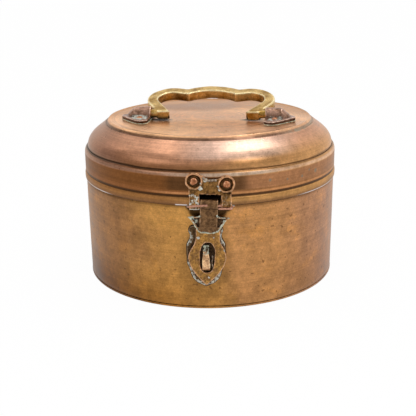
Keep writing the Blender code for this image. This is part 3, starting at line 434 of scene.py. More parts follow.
def forged_metal(name, bright, middle, deep, crust_colour, rough, grain_size, grain_depth, blotch, grit=0.0,
                 dull=False):
    """Hand-worked metal: bright on its worn edges, dark in its hollows, crusted where its mesh says so."""
    made, surface, place = start_material(name)
    relief, crusted, soot_and_shade = (node(place.tree, "ShaderNodeAttribute", {"attribute_name": key})["Fac"]
                             for key in ("relief", "crust", "soot_and_shade"))
    blotches = cloud(place, blotch, 5.0, 0.65)
    grain = cloud(place, grain_size, 4.0, 0.7)
    colour = mix(blotches.ranged(0.36, 0.62), deep, middle)
    worn = relief.ranged(0.12, 0.75) * blotches.ranged(0.3, 0.55, 0.6, 1.0)
    colour = mix(worn, colour, bright)
    colour = mix(relief.ranged(-0.12, -0.7) * 0.85, colour, [c * 0.22 for c in deep])
    # Darkening from the mesh's soot_and_shade field, which holds both grime and painted shade
    colour = mix(soot_and_shade * grain.ranged(0.3, 0.7, 1.0, 0.7), colour, (0.022, 0.013, 0.008))
    colour = colour.shaded(grain.ranged(0.28, 0.74, 0.78 - grit, 1.16 + grit))
    patchy = cloud(shifted(place, (0.3, 0.5, 0.1)), 420.0, 4.0, 0.7).ranged(0.36, 0.58, -0.55, 0.35)
    crust = (crusted + patchy).ranged(0.42, 0.62) * crusted.ranged(0.02, 0.12)
    crust_mix = mix(grain.ranged(0.35, 0.65), [c * 0.45 for c in crust_colour], crust_colour)
    if dull:
        crust, crust_mix = crust.at_least(1.0), colour
        feed(surface["Specular IOR Level"], 0.1)
    rough = (blotches - worn * 0.5).ranged(0.1, 0.65, rough - 0.10, rough + 0.08)
    finish_surface(surface, colour, rough, grain + crust * 1.2, grain_depth, crust, crust_mix)
    return made


# Forged finishes: name, the colours bright, middle, deep and crust, roughness, size and depth of the grain,
# size of the blotches, how gritty, and whether it is dull all over. The handle's middle colour is a setting.
FORGED = {
    "handle": ("handle_brass", (1.00, 0.82, 0.48), None, (0.36, 0.195, 0.034), (0.4, 0.4, 0.3),
               0.38, 1300.0, 0.00016, 110.0, 0.20),
    "saddle": ("saddle_copper", (0.90, 0.60, 0.46), (0.54, 0.320, 0.230), (0.24, 0.130, 0.080),
               (0.66, 0.66, 0.57),
               0.32, 800.0, 0.00020, 220.0, 0.10),
    "leaf": ("leaf_brass", (0.74, 0.40, 0.21), (0.34, 0.172, 0.052), (0.13, 0.064, 0.022), (0.80, 0.78, 0.67),
             0.38, 650.0, 0.00032, 330.0, 0.24),
    "strap": ("strap_bronze", (0.50, 0.30, 0.17), (0.245, 0.132, 0.060), (0.115, 0.060, 0.029),
              (0.60, 0.62, 0.50),
              0.40, 700.0, 0.00028, 300.0, 0.22),
    "plate": ("plate_brass", (0.70, 0.40, 0.24), (0.47, 0.240, 0.064), (0.22, 0.112, 0.042),
              (0.62, 0.60, 0.54),
              0.38, 650.0, 0.00028, 260.0, 0.22),
    "scallop": ("scallop_bronze", (0.40, 0.28, 0.18), (0.19, 0.112, 0.050), (0.08, 0.044, 0.020),
                (0.66, 0.62, 0.52),
                0.50, 600.0, 0.00024, 200.0),
    "staple": ("staple_brass", (1.00, 0.78, 0.50), (0.96, 0.60, 0.32), (0.46, 0.26, 0.14), (0.60, 0.62, 0.48),
               0.36, 800.0, 0.00018, 320.0, 0.08),
    "rivet": ("rivet_copper", (0.92, 0.50, 0.30), (0.52, 0.205, 0.090), (0.24, 0.078, 0.030),
              (0.45, 0.40, 0.35),
              0.32, 900.0, 0.00024, 300.0, 0.14),
    "wire": ("wire_copper", (0.62, 0.32, 0.22), (0.34, 0.140, 0.080), (0.14, 0.058, 0.036),
             (0.13, 0.24, 0.23),
             0.40, 900.0, 0.00006, 300.0),
    "deposit": ("pale_deposit", (0.72, 0.64, 0.54), (0.44, 0.36, 0.28), (0.16, 0.10, 0.06),
                (0.62, 0.60, 0.54),
                0.80, 900.0, 0.00030, 500.0, 0.0, True),
    "verdigris": ("verdigris_crust", (0.92, 0.95, 0.80), (0.74, 0.78, 0.61), (0.38, 0.39, 0.27),
                  (0.62, 0.66, 0.54),
                  0.80, 900.0, 0.00025, 400.0, 0.0, True),
    # The black of the painted shadow line round the scallop plate
    "shadow_line": ("shadow_line_black", (0.16, 0.09, 0.045), (0.050, 0.027, 0.013), (0.014, 0.008, 0.005),
              (0.3, 0.3, 0.2),
              0.70, 900.0, 0.00020, 300.0, 0.0, True),
}
TURNED = {"drum": drum_brass, "lid": lid_brass}
MADE = {}


def metal(key):
    """A finish, made the first time it is wanted."""
    if key not in MADE:
        if key in TURNED:
            MADE[key] = TURNED[key]()
        else:
            name, bright, middle, *rest = FORGED[key]
            middle = middle or bpy.context.scene.box_finishes.handle_yellow
            MADE[key] = forged_metal(name, bright, middle, *rest)
    return MADE[key]


# Mesh helpers

def as_object(name, mesh):
    obj = bpy.data.objects.new(name, mesh)
    bpy.context.scene.collection.objects.link(obj)
    return obj


def settled(obj):
    """Bakes the modifiers into a plain mesh and takes them off."""
    graph = bpy.context.evaluated_depsgraph_get()
    mesh = bpy.data.meshes.new_from_object(obj.evaluated_get(graph))
    obj.modifiers.clear()
    obj.data = mesh
    return obj


def finished(obj, body, slot, *nodes):
    """Gives a piece its smooth faces and its body, and hides the nodes that it stands for."""
    obj.data.shade_smooth()
    obj.data.set_sharp_from_angle(angle=math.radians(50))
    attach(obj, body)
    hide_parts(*nodes)


def unit(values):
    """Numbers held between 0 and 1."""
    return np.clip(values, 0, 1)


def clamp(value):
    return min(max(value, 0.0), 1.0)


def on_ring(away, radius, width):
    """1 at a radius from some middle, falling to 0 on both sides; radius and width in mm."""
    return np.exp(-((away - radius * MM) / (width * MM)) ** 2)


def get_points(mesh, what="co"):
    values = np.empty(len(mesh.vertices) * 3, np.float32)
    mesh.vertices.foreach_get(what, values)
    return values.reshape(-1, 3).astype(float)


def set_points(mesh, places):
    mesh.vertices.foreach_set("co", places.astype(np.float32).ravel())


def set_field(mesh, name, values):
    field = mesh.attributes.get(name) or mesh.attributes.new(name, "FLOAT", "POINT")
    field.data.foreach_set("value", np.asarray(values, np.float32))


def uneven(mesh, depth, size, seed, weight=None):
    """Moves the points by a smooth random amount, as in metal shaped by hand; depth and size in mm."""
    noise.seed_set(NOISE_SEED)
    shift = Vector((seed * 7.31, seed * 3.17, seed * 5.53))
    for vertex in mesh.vertices:
        push = noise.noise_vector(vertex.co / (size * MM) + shift) * (depth * MM)
        vertex.co += push * weight(vertex.co) if weight else push


def set_relief(mesh, rounds, reach):
    """Stores how far each point stands out or lies in, for wear and dirt in hollows; reach in mm."""
    count = len(mesh.vertices)
    place, normal = get_points(mesh), get_points(mesh, "normal")
    ends = np.empty(len(mesh.edges) * 2, np.int32)
    mesh.edges.foreach_get("vertices", ends)
    first, second = ends[::2], ends[1::2]
    links = np.maximum(np.bincount(first, minlength=count) + np.bincount(second, minlength=count), 1)

    def spread(values):
        columns = [np.bincount(first, column[second], count) + np.bincount(second, column[first], count)
                   for column in values.T]
        return np.stack(columns, 1) / links[:, None]

    blurred = place
    for _ in range(rounds):
        blurred = spread(blurred)
    relief = ((place - blurred) * normal).sum(1, keepdims=True) / (reach * MM)
    for _ in range(2):
        relief = (relief + spread(relief)) / 2
    set_field(mesh, "relief", relief[:, 0])


def worked(mesh, rounds, reach, *blows):
    """Makes a surface uneven by each (depth, size, seed), stores its relief and returns its points."""
    for blow in blows:
        uneven(mesh, *blow)
    mesh.update()
    set_relief(mesh, rounds, reach)
    return get_points(mesh)


def edge_distance(points, outline):
    """How far each point of a plane lies from a closed outline."""
    best = np.full(len(points), 1.0)
    for start, end in zip(outline, outline[1:] + outline[:1]):
        along = np.subtract(end, start)
        share = unit(((points - start) @ along) / max((along ** 2).sum(), 1e-12))
        away = points - (start + share[:, None] * along)
        best = np.minimum(best, np.sqrt((away ** 2).sum(1)))
    return best


def near_spots(across, height, spots, level=0.0, core=1.25):
    """How near each point is to the nearest of some spots, given in mm as (across, up, reach)."""
    best = np.zeros(len(across))
    for x, z, reach in spots:
        away = np.hypot(across - x * MM, height - level - z * MM) / (reach * MM)
        best = np.maximum(best, unit(core - away))
    return best


def arc(centre, radius, start, end, steps=24):
    turns = [start + (end - start) * step / steps for step in range(steps + 1)]
    return [(centre[0] + radius * math.cos(a), centre[1] + radius * math.sin(a)) for a in turns]


def eased(points, steps=6):
    """A smooth line through points, its ends kept."""
    line = []
    padded = [points[0]] + list(points) + [points[-1]]
    for p, a, b, q in zip(padded, padded[1:], padded[2:], padded[3:]):
        for step in range(steps):
            t = step / steps
            line.append(tuple(
                0.5 * (2 * y + (z - x) * t + (2 * x - 5 * y + 4 * z - w) * t * t
                       + (3 * y - x - 3 * z + w) * t ** 3) for x, y, z, w in zip(p, a, b, q)))
    return line + [points[-1]]


def offset_line(points, distance):
    """The line moved to the left of its direction, with mitred corners."""
    moved = []
    for index, point in enumerate(points):
        here = Vector(point)
        before = here - Vector(points[index - 1]) if index else Vector(points[1]) - here
        after = Vector(points[index + 1]) - here if index + 1 < len(points) else before
        middle = (before.normalized() + after.normalized()).normalized()
        left = Vector((-middle.y, middle.x))
        cosine = max(left.dot(Vector((-before.y, before.x)).normalized()), 0.5)
        moved.append(tuple(here + left * distance / cosine))
    return moved


def strip(path, thickness):
    return offset_line(path, thickness / 2) + offset_line(path, -thickness / 2)[::-1]


def mirrored(half, middle=0.0):
    """A closed outline from its right half, given from the top down."""
    return [(middle + x, z) for x, z in half] + [(middle - x, z) for x, z in half[::-1] if abs(x) > 1e-6]


def prism(outline, low, high, across="Y"):
    """A closed solid: an outline in the two other axes, drawn out along one axis."""
    bm = bmesh.new()
    order = {"X": (2, 0, 1), "Y": (0, 2, 1), "Z": (0, 1, 2)}[across]
    ends = []
    for level in (low, high):
        spots = [(*corner, level) for corner in outline]
        ends.append([bm.verts.new([spot[axis] for axis in order]) for spot in spots])
    caps = [bm.faces.new(end) for end in ends]
    for step in range(len(outline)):
        after = (step + 1) % len(outline)
        bm.faces.new((ends[0][step], ends[0][after], ends[1][after], ends[1][step]))
    bmesh.ops.triangulate(bm, faces=caps)
    bmesh.ops.recalc_face_normals(bm, faces=bm.faces)
    return bm


def sliced(bm, place, normal, **settings):
    whole = bm.verts[:] + bm.edges[:] + bm.faces[:]
    return bmesh.ops.bisect_plane(bm, geom=whole, plane_co=place, plane_no=normal, **settings)["geom_cut"]


def on_front(across, height, radius):
    """A place on the drum's front, given flat."""
    return radius * math.sin(across / radius), -radius * math.cos(across / radius), height


def bent(bm, radius):
    """Bends a plate, drawn in X and Z with Y as its height, round the drum's front."""
    reach = max(abs(v.co.x) for v in bm.verts)
    for line in np.arange(-reach, reach, 1.2 * MM):
        sliced(bm, (line, 0, 0), (1, 0, 0))
    bmesh.ops.triangulate(bm, faces=bm.faces)
    for vertex in bm.verts:
        turn = vertex.co.x / radius
        out = radius + vertex.co.y
        vertex.co = (out * math.sin(turn), -out * math.cos(turn), vertex.co.z)
    return bm


def unbent(place, radius):
    """Points round the drum's front as flat places: across, height, and how far out."""
    across = np.arctan2(place[:, 0], -place[:, 1]) * radius
    return across, place[:, 2], np.hypot(place[:, 0], place[:, 1]) - radius


def to_mesh(name, bm):
    mesh = bpy.data.meshes.new(name)
    bm.to_mesh(mesh)
    bm.free()
    return mesh


def forged(name, key, solids, voxel, rounds, cuts=(), move=None):
    """Fuses closed solids into one lump of a metal with softened edges, on voxels given in mm."""
    whole = bmesh.new()
    for bm in solids:
        whole.from_mesh(to_mesh("part", bm))
    obj = as_object(name, to_mesh(name, whole))

    def fuse():
        step = obj.modifiers.new("Fuse", "REMESH")
        step.mode = "VOXEL"
        step.voxel_size = voxel * MM

    fuse()
    tools = [as_object("cutter", to_mesh("cutter", bm)) for bm in cuts]
    for tool in tools:
        carve = obj.modifiers.new("Carve", "BOOLEAN")
        carve.operation = "DIFFERENCE"
        carve.solver = "EXACT"
        carve.object = tool
    if tools:
        fuse()
    soften = obj.modifiers.new("Soften", "SMOOTH")
    soften.factor = 0.5
    soften.iterations = rounds
    settled(obj)
    for tool in tools:
        bpy.data.objects.remove(tool)
    if move is not None:
        obj.data.transform(move)
    obj.data.materials.append(metal(key))
    return obj


# Geometry Nodes trees

def new_tree(name, **inputs):
    """A Geometry Nodes tree with named inputs, numbers and a material. Returns its geometry input."""
    tree = bpy.data.node_groups.new(name, "GeometryNodeTree")
    tree.interface.new_socket("Geometry", in_out="INPUT", socket_type="NodeSocketGeometry")
    for key, value in inputs.items():
        kind = "NodeSocketInt" if isinstance(value, int) else "NodeSocketFloat"
        socket = tree.interface.new_socket(key.replace("_", " "), in_out="INPUT", socket_type=kind)
        socket.default_value = value
    tree.interface.new_socket("Material", in_out="INPUT", socket_type="NodeSocketMaterial")
    tree.interface.new_socket("Geometry", in_out="OUTPUT", socket_type="NodeSocketGeometry")
    return node(tree, "NodeGroupInput")


def end_tree(given, last):
    """Realizes what a tree has made, gives it its material and returns the tree."""
    real = node(given.tree, "GeometryNodeRealizeInstances", _0=last)
    dressed = node(given.tree, "GeometryNodeSetMaterial", Geometry=real, Material=given["Material"])
    feed(given.tree.nodes.new("NodeGroupOutput").inputs[0], dressed)
    return given.tree


def turned_tree():
    """Turns a profile, drawn as radius and depth, about the upright axis."""
    given = new_tree("Turned shell", Sides=240, Hub=MM)
    tree = given.tree
    profile = node(tree, "GeometryNodeMeshToCurve", Mesh=given)
    rail = node(tree, "GeometryNodeCurvePrimitiveCircle", Resolution=given["Sides"], Radius=given["Hub"])
    upright = node(tree, "GeometryNodeSetCurveNormal", {"mode": "Z_UP"}, Curve=rail)
    shell = node(tree, "GeometryNodeCurveToMesh", Curve=upright, Profile_Curve=profile)
    return end_tree(given, node(tree, "GeometryNodeMergeByDistance", Geometry=shell, Distance=0.000002))


def drift(given, scale, detail):
    """A noise of the place and of the tree's seed."""
    return node(given.tree, "ShaderNodeTexNoise", {"noise_dimensions": "4D"}, W=given["Seed"], Scale=scale,
                Vector=node(given.tree, "GeometryNodeInputPosition"), Detail=detail)


def bead_tree():
    """Lays a round wire or a ragged bead of crust along a path."""
    given = new_tree("Bead", Radius=MM, Step=MM, Raggedness=0.0, Seed=0.0)
    tree = given.tree
    path = node(tree, "GeometryNodeMeshToCurve", Mesh=given)
    even = node(tree, "GeometryNodeResampleCurve", {"mode": "LENGTH"}, Curve=path, Length=given["Step"])
    ragged = (drift(given, 900.0, 2.0) - 0.5) * given["Raggedness"]
    radius = given["Radius"] * (ragged + 1.0).at_least(0.12)
    sized = node(tree, "GeometryNodeSetCurveRadius", Curve=even, Radius=radius)
    ring = node(tree, "GeometryNodeCurvePrimitiveCircle", Resolution=14, Radius=1.0)
    rod = node(tree, "GeometryNodeCurveToMesh", Curve=sized, Profile_Curve=ring, Fill_Caps=True,
               Scale=node(tree, "GeometryNodeInputRadius"))
    return end_tree(given, rod)


def rivet_tree():
    """Sets a hammered rivet at each point, facing the way the point says."""
    given = new_tree("Rivets", Head_Radius=MM, Head_Height=MM, Shank_Radius=MM, Stack=MM, Hammering=0.1,
                     Seed=0.0)
    tree = given.tree

    def vector(x, y, z):
        return node(tree, "ShaderNodeCombineXYZ", X=x, Y=y, Z=z)

    ball = node(tree, "GeometryNodeMeshUVSphere", Segments=40, Rings=28, Radius=1.0)
    pole = node(tree, "GeometryNodeMeshCylinder", Vertices=24, Radius=given["Shank Radius"],
                Depth=given["Stack"])
    radius, tail_radius, down = given["Head Radius"], given["Shank Radius"] * 1.43, given["Stack"] * -1.0
    tail = vector(tail_radius, tail_radius, 0.0008)
    whole = tree.nodes.new("GeometryNodeJoinGeometry")
    for sockets in (
        {"Geometry": ball, "Scale": vector(radius, radius, given["Head Height"])},
        {"Geometry": ball, "Translation": vector(0.0, 0.0, down), "Scale": tail},
        {"Geometry": pole, "Translation": vector(0.0, 0.0, down * 0.5)},
    ):
        feed(whole.inputs[0], node(tree, "GeometryNodeTransform", **sockets))
    facing = node(tree, "GeometryNodeInputNamedAttribute", {"data_type": "FLOAT_VECTOR"}, Name="facing")
    turn = node(tree, "FunctionNodeAlignRotationToVector", {"axis": "Z"}, Vector=facing)
    placed = node(tree, "GeometryNodeInstanceOnPoints", Points=given, Instance=Field(whole.outputs[0]),
                  Rotation=turn)
    real = node(tree, "GeometryNodeRealizeInstances", _0=placed)
    push = node(tree, "ShaderNodeVectorMath", {"operation": "SUBTRACT"}, _0=drift(given, 420.0, 1.0)[1],
                _1=(0.5, 0.5, 0.5))
    push = node(tree, "ShaderNodeVectorMath", {"operation": "SCALE"}, _0=push, Scale=given["Hammering"])
    return end_tree(given, node(tree, "GeometryNodeSetPosition", Geometry=real, Offset=push))


TREES = {"Turned shell": turned_tree, "Bead": bead_tree, "Rivets": rivet_tree}


def grown(name, tree_key, points, links, key, values, facing=()):
    """Runs a node tree on a few points and keeps the result as a plain mesh."""
    mesh = bpy.data.meshes.new(name)
    mesh.from_pydata(points, links, [])
    if facing:
        field = mesh.attributes.new("facing", "FLOAT_VECTOR", "POINT")
        field.data.foreach_set("vector", [c for way in facing for c in way])
    obj = as_object(name, mesh)
    if tree_key not in MADE:
        MADE[tree_key] = TREES[tree_key]()
    tree = MADE[tree_key]
    step = obj.modifiers.new(tree.name, "NODES")
    step.node_group = tree
    values = dict(values, Material=metal(key))
    for item in tree.interface.items_tree:
        if item.in_out == "INPUT" and item.name in values:
            step[item.identifier] = values[item.name]
    return settled(obj)


def turned(name, profile, key, spacing=3.0):
    """A shell turned from a closed profile of (radius, height), in steps given in mm."""
    fine = []
    for (ra, za), (rb, zb) in zip(profile, profile[1:] + profile[:1]):
        steps = max(int(math.hypot(rb - ra, zb - za) / (spacing * MM)), 1)
        fine += [(ra + (rb - ra) * s / steps, za + (zb - za) * s / steps) for s in range(steps)]
    points = [(max(r, 0) - MM, -z, 0) for r, z in fine]
    links = [(i, (i + 1) % len(points)) for i in range(len(points))]
    obj = grown(name, "Turned shell", points, links, key, {"Sides": bpy.context.scene.box_shells.sides})
    bm = bmesh.new()
    bm.from_mesh(obj.data)
    bmesh.ops.remove_doubles(bm, verts=bm.verts, dist=0.000002)
    bmesh.ops.dissolve_degenerate(bm, edges=bm.edges, dist=0.000001)
    bmesh.ops.recalc_face_normals(bm, faces=bm.faces)
    bm.to_mesh(obj.data)
    bm.free()
    return obj


def bead(name, path, radius, key, ragged=0.0, step=0.5, closed=False, seed=0.0):
    """A wire or a ragged line of crust along a path, with its step in mm."""
    links = [(i, i + 1) for i in range(len(path) - 1)] + ([(len(path) - 1, 0)] if closed else [])
    values = {"Radius": radius, "Step": step * MM, "Raggedness": ragged, "Seed": seed}
    return grown(name, "Bead", path, links, key, values)


# Turned shells

class BOX_OT_drum(bpy.types.Operator):
    """Make the drum: its base, its wall and the collar in its mouth"""
    bl_idname = "brass_box.drum"
    bl_label = "Drum"

    def execute(self, context):
        sizes = context.scene.box_shells
        mouth, sheet = sizes.drum_radius, sizes.sheet
        foot = mouth - sizes.drum_taper
        edge = 0.5 * MM
        base = [
            (0, 0), (foot - 1.0 * MM, 0), (foot - edge * 0.5, edge * 0.3), (foot + 0.1 * MM, edge * 1.2),
            (foot + 0.1 * MM, BASE_TOP_Z - edge * 0.3), (foot - edge * 0.3, BASE_TOP_Z), (0, BASE_TOP_Z),
        ]
        finished(turned("drum_base", base, "drum"), "box", "body_brass", "base_disc")
        wall = [
            (foot - edge * 0.4, WALL_FOOT_Z), (foot, WALL_FOOT_Z + edge * 0.6), (mouth, RIM_Z - edge * 0.6),
            (mouth - edge * 0.4, RIM_Z), (mouth - sizes.wall, RIM_Z), (foot - sizes.wall, WALL_FOOT_Z),
        ]
        drum = turned("drum_side", wall, "drum")
        uneven(drum.data, 0.10, 34, 3)
        finished(drum, "box", "body_brass", "drum_wall")
        upper = sizes.lid_radius - sheet * 2 - 0.9 * MM
        lower = mouth - sizes.wall - GAP - 0.05 * MM
        collar = [
            (lower, COLLAR_LOW_Z), (lower, RIM_Z - 0.5 * MM), (upper, RIM_Z + 0.4 * MM),
            (upper, COLLAR_TOP_Z - 0.5 * MM), (upper - 0.4 * MM, COLLAR_TOP_Z), (upper - sheet, COLLAR_TOP_Z),
            (upper - sheet, RIM_Z), (lower - sheet, RIM_Z - sheet), (lower - sheet, COLLAR_LOW_Z),
        ]
        finished(turned("drum_collar", collar, "drum"), "box", "body_brass", "mouth_collar")
        return {"FINISHED"}


class BOX_OT_lid(bpy.types.Operator):
    """Make the lid: its straight side with the bead, and the dome with its flat disc"""
    bl_idname = "brass_box.lid"
    bl_label = "Lid"

    def execute(self, context):
        sizes = context.scene.box_shells
        edge, sheet = sizes.lid_radius, sizes.sheet
        inset, shoulder, bead_height = 2.2 * MM, 4.4 * MM, 5.6 * MM
        low = RIM_Z + GAP
        band = [(edge - sheet, low)]
        for step in range(9):
            turn = math.pi * step / 8
            band.append((edge - 0.1 * MM + (sizes.bead_proud + 0.1 * MM) * math.sin(turn) ** 0.7,
                         low + bead_height * (1 - math.cos(turn)) / 2))
        groove = low + bead_height + 0.6 * MM
        band += [(edge - 0.45 * MM, groove), (edge - 0.1 * MM, groove + 0.9 * MM), (edge, groove + 1.8 * MM)]
        for step in range(12):
            turn = math.pi / 2 * step / 11
            band.append((edge - inset * (1 - math.cos(turn)), BAND_TOP_Z - shoulder * (1 - math.sin(turn))))
        band += [(edge - inset, BAND_TOP_Z - sheet), (edge - sheet, BAND_TOP_Z - shoulder)]
        side = turned("lid_side", band, "lid", 1.5)
        uneven(side.data, 0.10, 30, 5)
        finished(side, "lid", "lid_brass", "lid_band")

        skirt, neck = edge - sheet - GAP, edge - inset - GAP
        ring, rise = sizes.disc_radius, 2.6 * MM
        ring_foot, flat = DOME_TOP_Z - rise, DOME_TOP_Z - 0.5 * MM
        pull = (ring_foot - BAND_TOP_Z) * 0.35
        corners = (
            (neck, BAND_TOP_Z + GAP), (neck - GAP, BAND_TOP_Z + pull * 1.45),
            (ring + pull * 1.3, ring_foot - pull), (ring + 0.9 * MM, ring_foot - 0.15 * MM),
        )
        top = [(skirt, DOME_FOOT_Z), (skirt, BAND_TOP_Z - 3.7 * MM), (neck, BAND_TOP_Z - 1.4 * MM)]
        for step in range(29):
            t = step / 28
            shares = ((1 - t) ** 3, 3 * t * (1 - t) ** 2, 3 * t * t * (1 - t), t ** 3)
            top.append(tuple(sum(s * c[axis] for s, c in zip(shares, corners)) for axis in (0, 1)))
        top += [(ring + 0.55 * MM, ring_foot - 0.25 * MM), (ring + 0.2 * MM, ring_foot - 0.3 * MM)]
        top += [(ring - 2.5 * MM * across, ring_foot + rise * up) for across, up in ROLLED_STEP]
        top += [(ring - 7 * MM, DOME_TOP_Z - 0.45 * MM), (ring - 11 * MM, flat), (0, flat)]
        under = offset_line(top[:-1], sheet) + [(0, flat - sheet)]
        dome = turned("lid_top", top + under[::-1], "lid", 2.0)

        def waves(co):
            """How uneven a place is: the disc most, the dome's foot least."""
            return min(max((ring + 2 * MM - math.hypot(co.x, co.y)) / (12 * MM), 0.28), 1.0)

        uneven(dome.data, 0.50, 36, 11, waves)
        uneven(dome.data, 0.16, 13, 4, lambda co: max(waves(co) - 0.25, 0.0))
        finished(dome, "lid", "lid_brass", "lid_dome")
        return {"FINISHED"}


# Hasp leaf, hinge and pins

def leaf_outline(base, tilt):
    """The butterfly's flat outline, two round lobes over two legs, and the middles of its lobes."""
    window, leg, end, sill = 15.2 * MM / 2, 7.0 * MM, 5.6 * MM, 7.9 * MM
    opens, closes = math.radians(42.0), math.radians(232.0)
    lobe_x, lobe_z, lobe_radius = Vector((11.1, 15.7, 6.3)) * MM
    left, right = (-lobe_x, lobe_z + tilt), (lobe_x, lobe_z - tilt)
    points = [(-window - leg, end)] + arc(left, lobe_radius, closes, opens) + [(0, lobe_z + 1.6 * MM)]
    points += arc(right, lobe_radius, math.pi - opens, math.pi - closes)
    points += [(window + leg, end), (window, end), (window, sill - tilt / 2), (-window, sill), (-window, end)]
    return [(x, z + base) for x, z in points], [(x, z + base) for x, z in (left, right)]


def make_leaf(sizes, name, tilt, seed):
    """A butterfly leaf at the front, with rims round its rivets and legs curled over the pin."""
    seat, sheet, pin_z = sizes.leaf_radius, sizes.leaf_sheet, sizes.pin_z
    outline, lobes = leaf_outline(pin_z - GAP, tilt)
    pin = (-sizes.pin_y, pin_z)
    start = Vector((-seat - sheet * 0.35, pin_z + 5.6 * MM + sheet))
    away = start - Vector(pin)
    first = math.atan2(away.y, away.x) + math.acos(CURL_RADIUS / away.length)
    curl = strip([tuple(start)] + arc(pin, CURL_RADIUS, first, first + math.radians(235)), CURL_SHEET)
    solids = [bent(prism(outline, 0, sheet), seat)]
    for hand in (-1, 1):
        middle = hand * 11.1 * MM
        solids.append(prism(curl, middle - 3.5 * MM, middle + 3.5 * MM, "X"))
    leaf = forged(name, "leaf", solids, 0.28, 4)
    place = get_points(leaf.data)
    across, height, out = unbent(place, seat)
    front = (out > sheet * 0.45) & (height > pin_z + 6.2 * MM)
    near = np.min([np.hypot(across - x, height - z) for x, z in lobes], axis=0)
    lift = 0.42 * MM * on_ring(near, 5.5, 0.75)
    lift -= 0.75 * MM / (1 + np.exp((near - 4.5 * MM) / (0.16 * MM)))
    outwards = place * (1, 1, 0)
    outwards /= np.linalg.norm(outwards, axis=1, keepdims=True)
    set_points(leaf.data, place + outwards * np.where(front, lift, 0.0)[:, None])
    worked(leaf.data, 9, 0.22, (0.30, 3.2, seed))
    legs = unit((pin_z + 9 * MM - height) / (3 * MM)) * np.where(across < 0, 0.30, 0.12)
    rims = on_ring(near, 5.9, 0.8) * unit((height - pin_z - 8 * MM) / MM) * 0.10
    spots = near_spots(across, height, LEAF_SPOTS, pin_z)
    set_field(leaf.data, "crust", np.maximum(legs + rims, spots))
    # Dark recesses round the rivets, and darker rims round them with painted shade on their lower half
    recess = 0.85 / (1 + np.exp((near - 4.1 * MM) / (0.22 * MM)))
    below = unit((pin_z + 15 * MM - height) / (5 * MM))
    rim = on_ring(near, 6.3, 0.9) * (0.15 + 0.5 * below)
    set_field(leaf.data, "soot_and_shade", np.where(front, np.maximum(recess, rim), 0))
    return leaf


class BOX_OT_leaves(bpy.types.Operator):
    """Make the butterfly leaves at the front and the back, and the lower leaf of the hinge"""
    bl_idname = "brass_box.leaves"
    bl_label = "Leaves"

    def execute(self, context):
        sizes = context.scene.box_hardware
        finished(make_leaf(sizes, "leaf_front", 1.25 * MM, 2), "lid", "leaf_brass", "hasp_leaf")
        out = sizes.leaf_radius + 0.95 * MM
        path = [on_front(across * MM, sizes.pin_z + up * MM, out) for across, up in LEAF_CRUST]
        finished(bead("leaf_crust", path, 0.85 * MM, "deposit", 1.5, 0.35, seed=8.0), "lid", "leaf_brass")
        rear = make_leaf(sizes, "leaf_rear", 0.0, 9)
        rear.data.transform(HALF_TURN)
        finished(rear, "lid", "leaf_brass", "hinge_leaf_upper")

        top = sizes.pin_z - 4.0 * MM
        half, knuckle = 13.0 * MM, 7.1 * MM
        foot, shoulder = top - 20.0 * MM, top - 6.0 * MM
        right = [(knuckle, top), (knuckle, shoulder), (half, shoulder), (half, foot + 4.0 * MM)]
        right += arc((half * 0.7, foot + 4.0 * MM), 3.9 * MM, 0, -math.pi / 2, 8)
        outline = mirrored(right)
        seat, sheet = context.scene.box_shells.drum_radius + GAP, sizes.leaf_sheet
        path = [(-seat - sheet * 0.6, top - sheet)]
        path += arc((-sizes.pin_y, sizes.pin_z), CURL_RADIUS, 0, math.radians(280))
        curl = prism(strip(path, CURL_SHEET), -knuckle, knuckle, "X")
        solids = [bent(prism(outline, 0, sheet), seat), curl]
        lower = forged("leaf_lower", "leaf", solids, 0.3, 4, move=HALF_TURN)
        place = worked(lower.data, 9, 0.22, (0.24, 3.6, 6))
        across, height, _ = unbent(place * (-1, -1, 1), seat)
        edge = edge_distance(np.stack((across, height), 1), outline)
        set_field(lower.data, "crust", unit(1 - edge / (1.6 * MM)) * 0.7)
        finished(lower, "box", "leaf_brass", "hinge_leaf_lower")
        return {"FINISHED"}


class BOX_OT_pins(bpy.types.Operator):
    """Make the hasp's wire pin, turned back at both ends, and the hinge's plain pin"""
    bl_idname = "brass_box.pins"
    bl_label = "Pins"

    def execute(self, context):
        sizes = context.scene.box_hardware
        reach, bulge = 13.9 * MM, 0.8 * MM
        turn, radius, y, z = 2.0 * MM, sizes.pin_radius, sizes.pin_y, sizes.pin_z
        front = -y - turn * 2 + radius / 2
        rise = radius * 1.3
        path = [
            (-reach + 11.8 * MM, front, z + rise * 1.6), (-reach + 6.0 * MM, front, z + rise * 1.3),
            (-reach, front, z + rise), (-reach - bulge * 0.7, front + turn * 0.45, z + rise * 0.8),
            (-reach - bulge, (front - y) / 2, z + rise * 0.5), (-reach - bulge * 0.7, -y - turn * 0.45, z),
            (-reach, -y, z), (reach, -y, z), (reach + bulge * 0.7, -y - turn * 0.45, z - rise * 0.15),
            (reach + bulge, (front - y) / 2, z - rise * 0.5),
            (reach + bulge * 0.7, front + turn * 0.45, z - rise * 0.8), (reach, front, z - rise),
            (reach - 8.4 * MM, front, z - rise),
        ]
        pin = bead("pin_front", eased(path), radius, "wire", 0.06, 0.35, seed=2.0)
        set_relief(pin.data, 3, 0.1)
        beyond = np.abs(get_points(pin.data)[:, 0]) - reach - 0.2 * MM
        set_field(pin.data, "crust", unit(beyond / (1.2 * MM)) * 0.8)
        finished(pin, "lid", "rivet_copper", "hasp_pin")
        half = 16.1 * MM
        rear = bead("pin_rear", [(-half, y, z), (half, y, z)], radius, "wire", 0.04)
        finished(rear, "box", "rivet_copper", "hinge_pin")
        return {"FINISHED"}


# Rivets

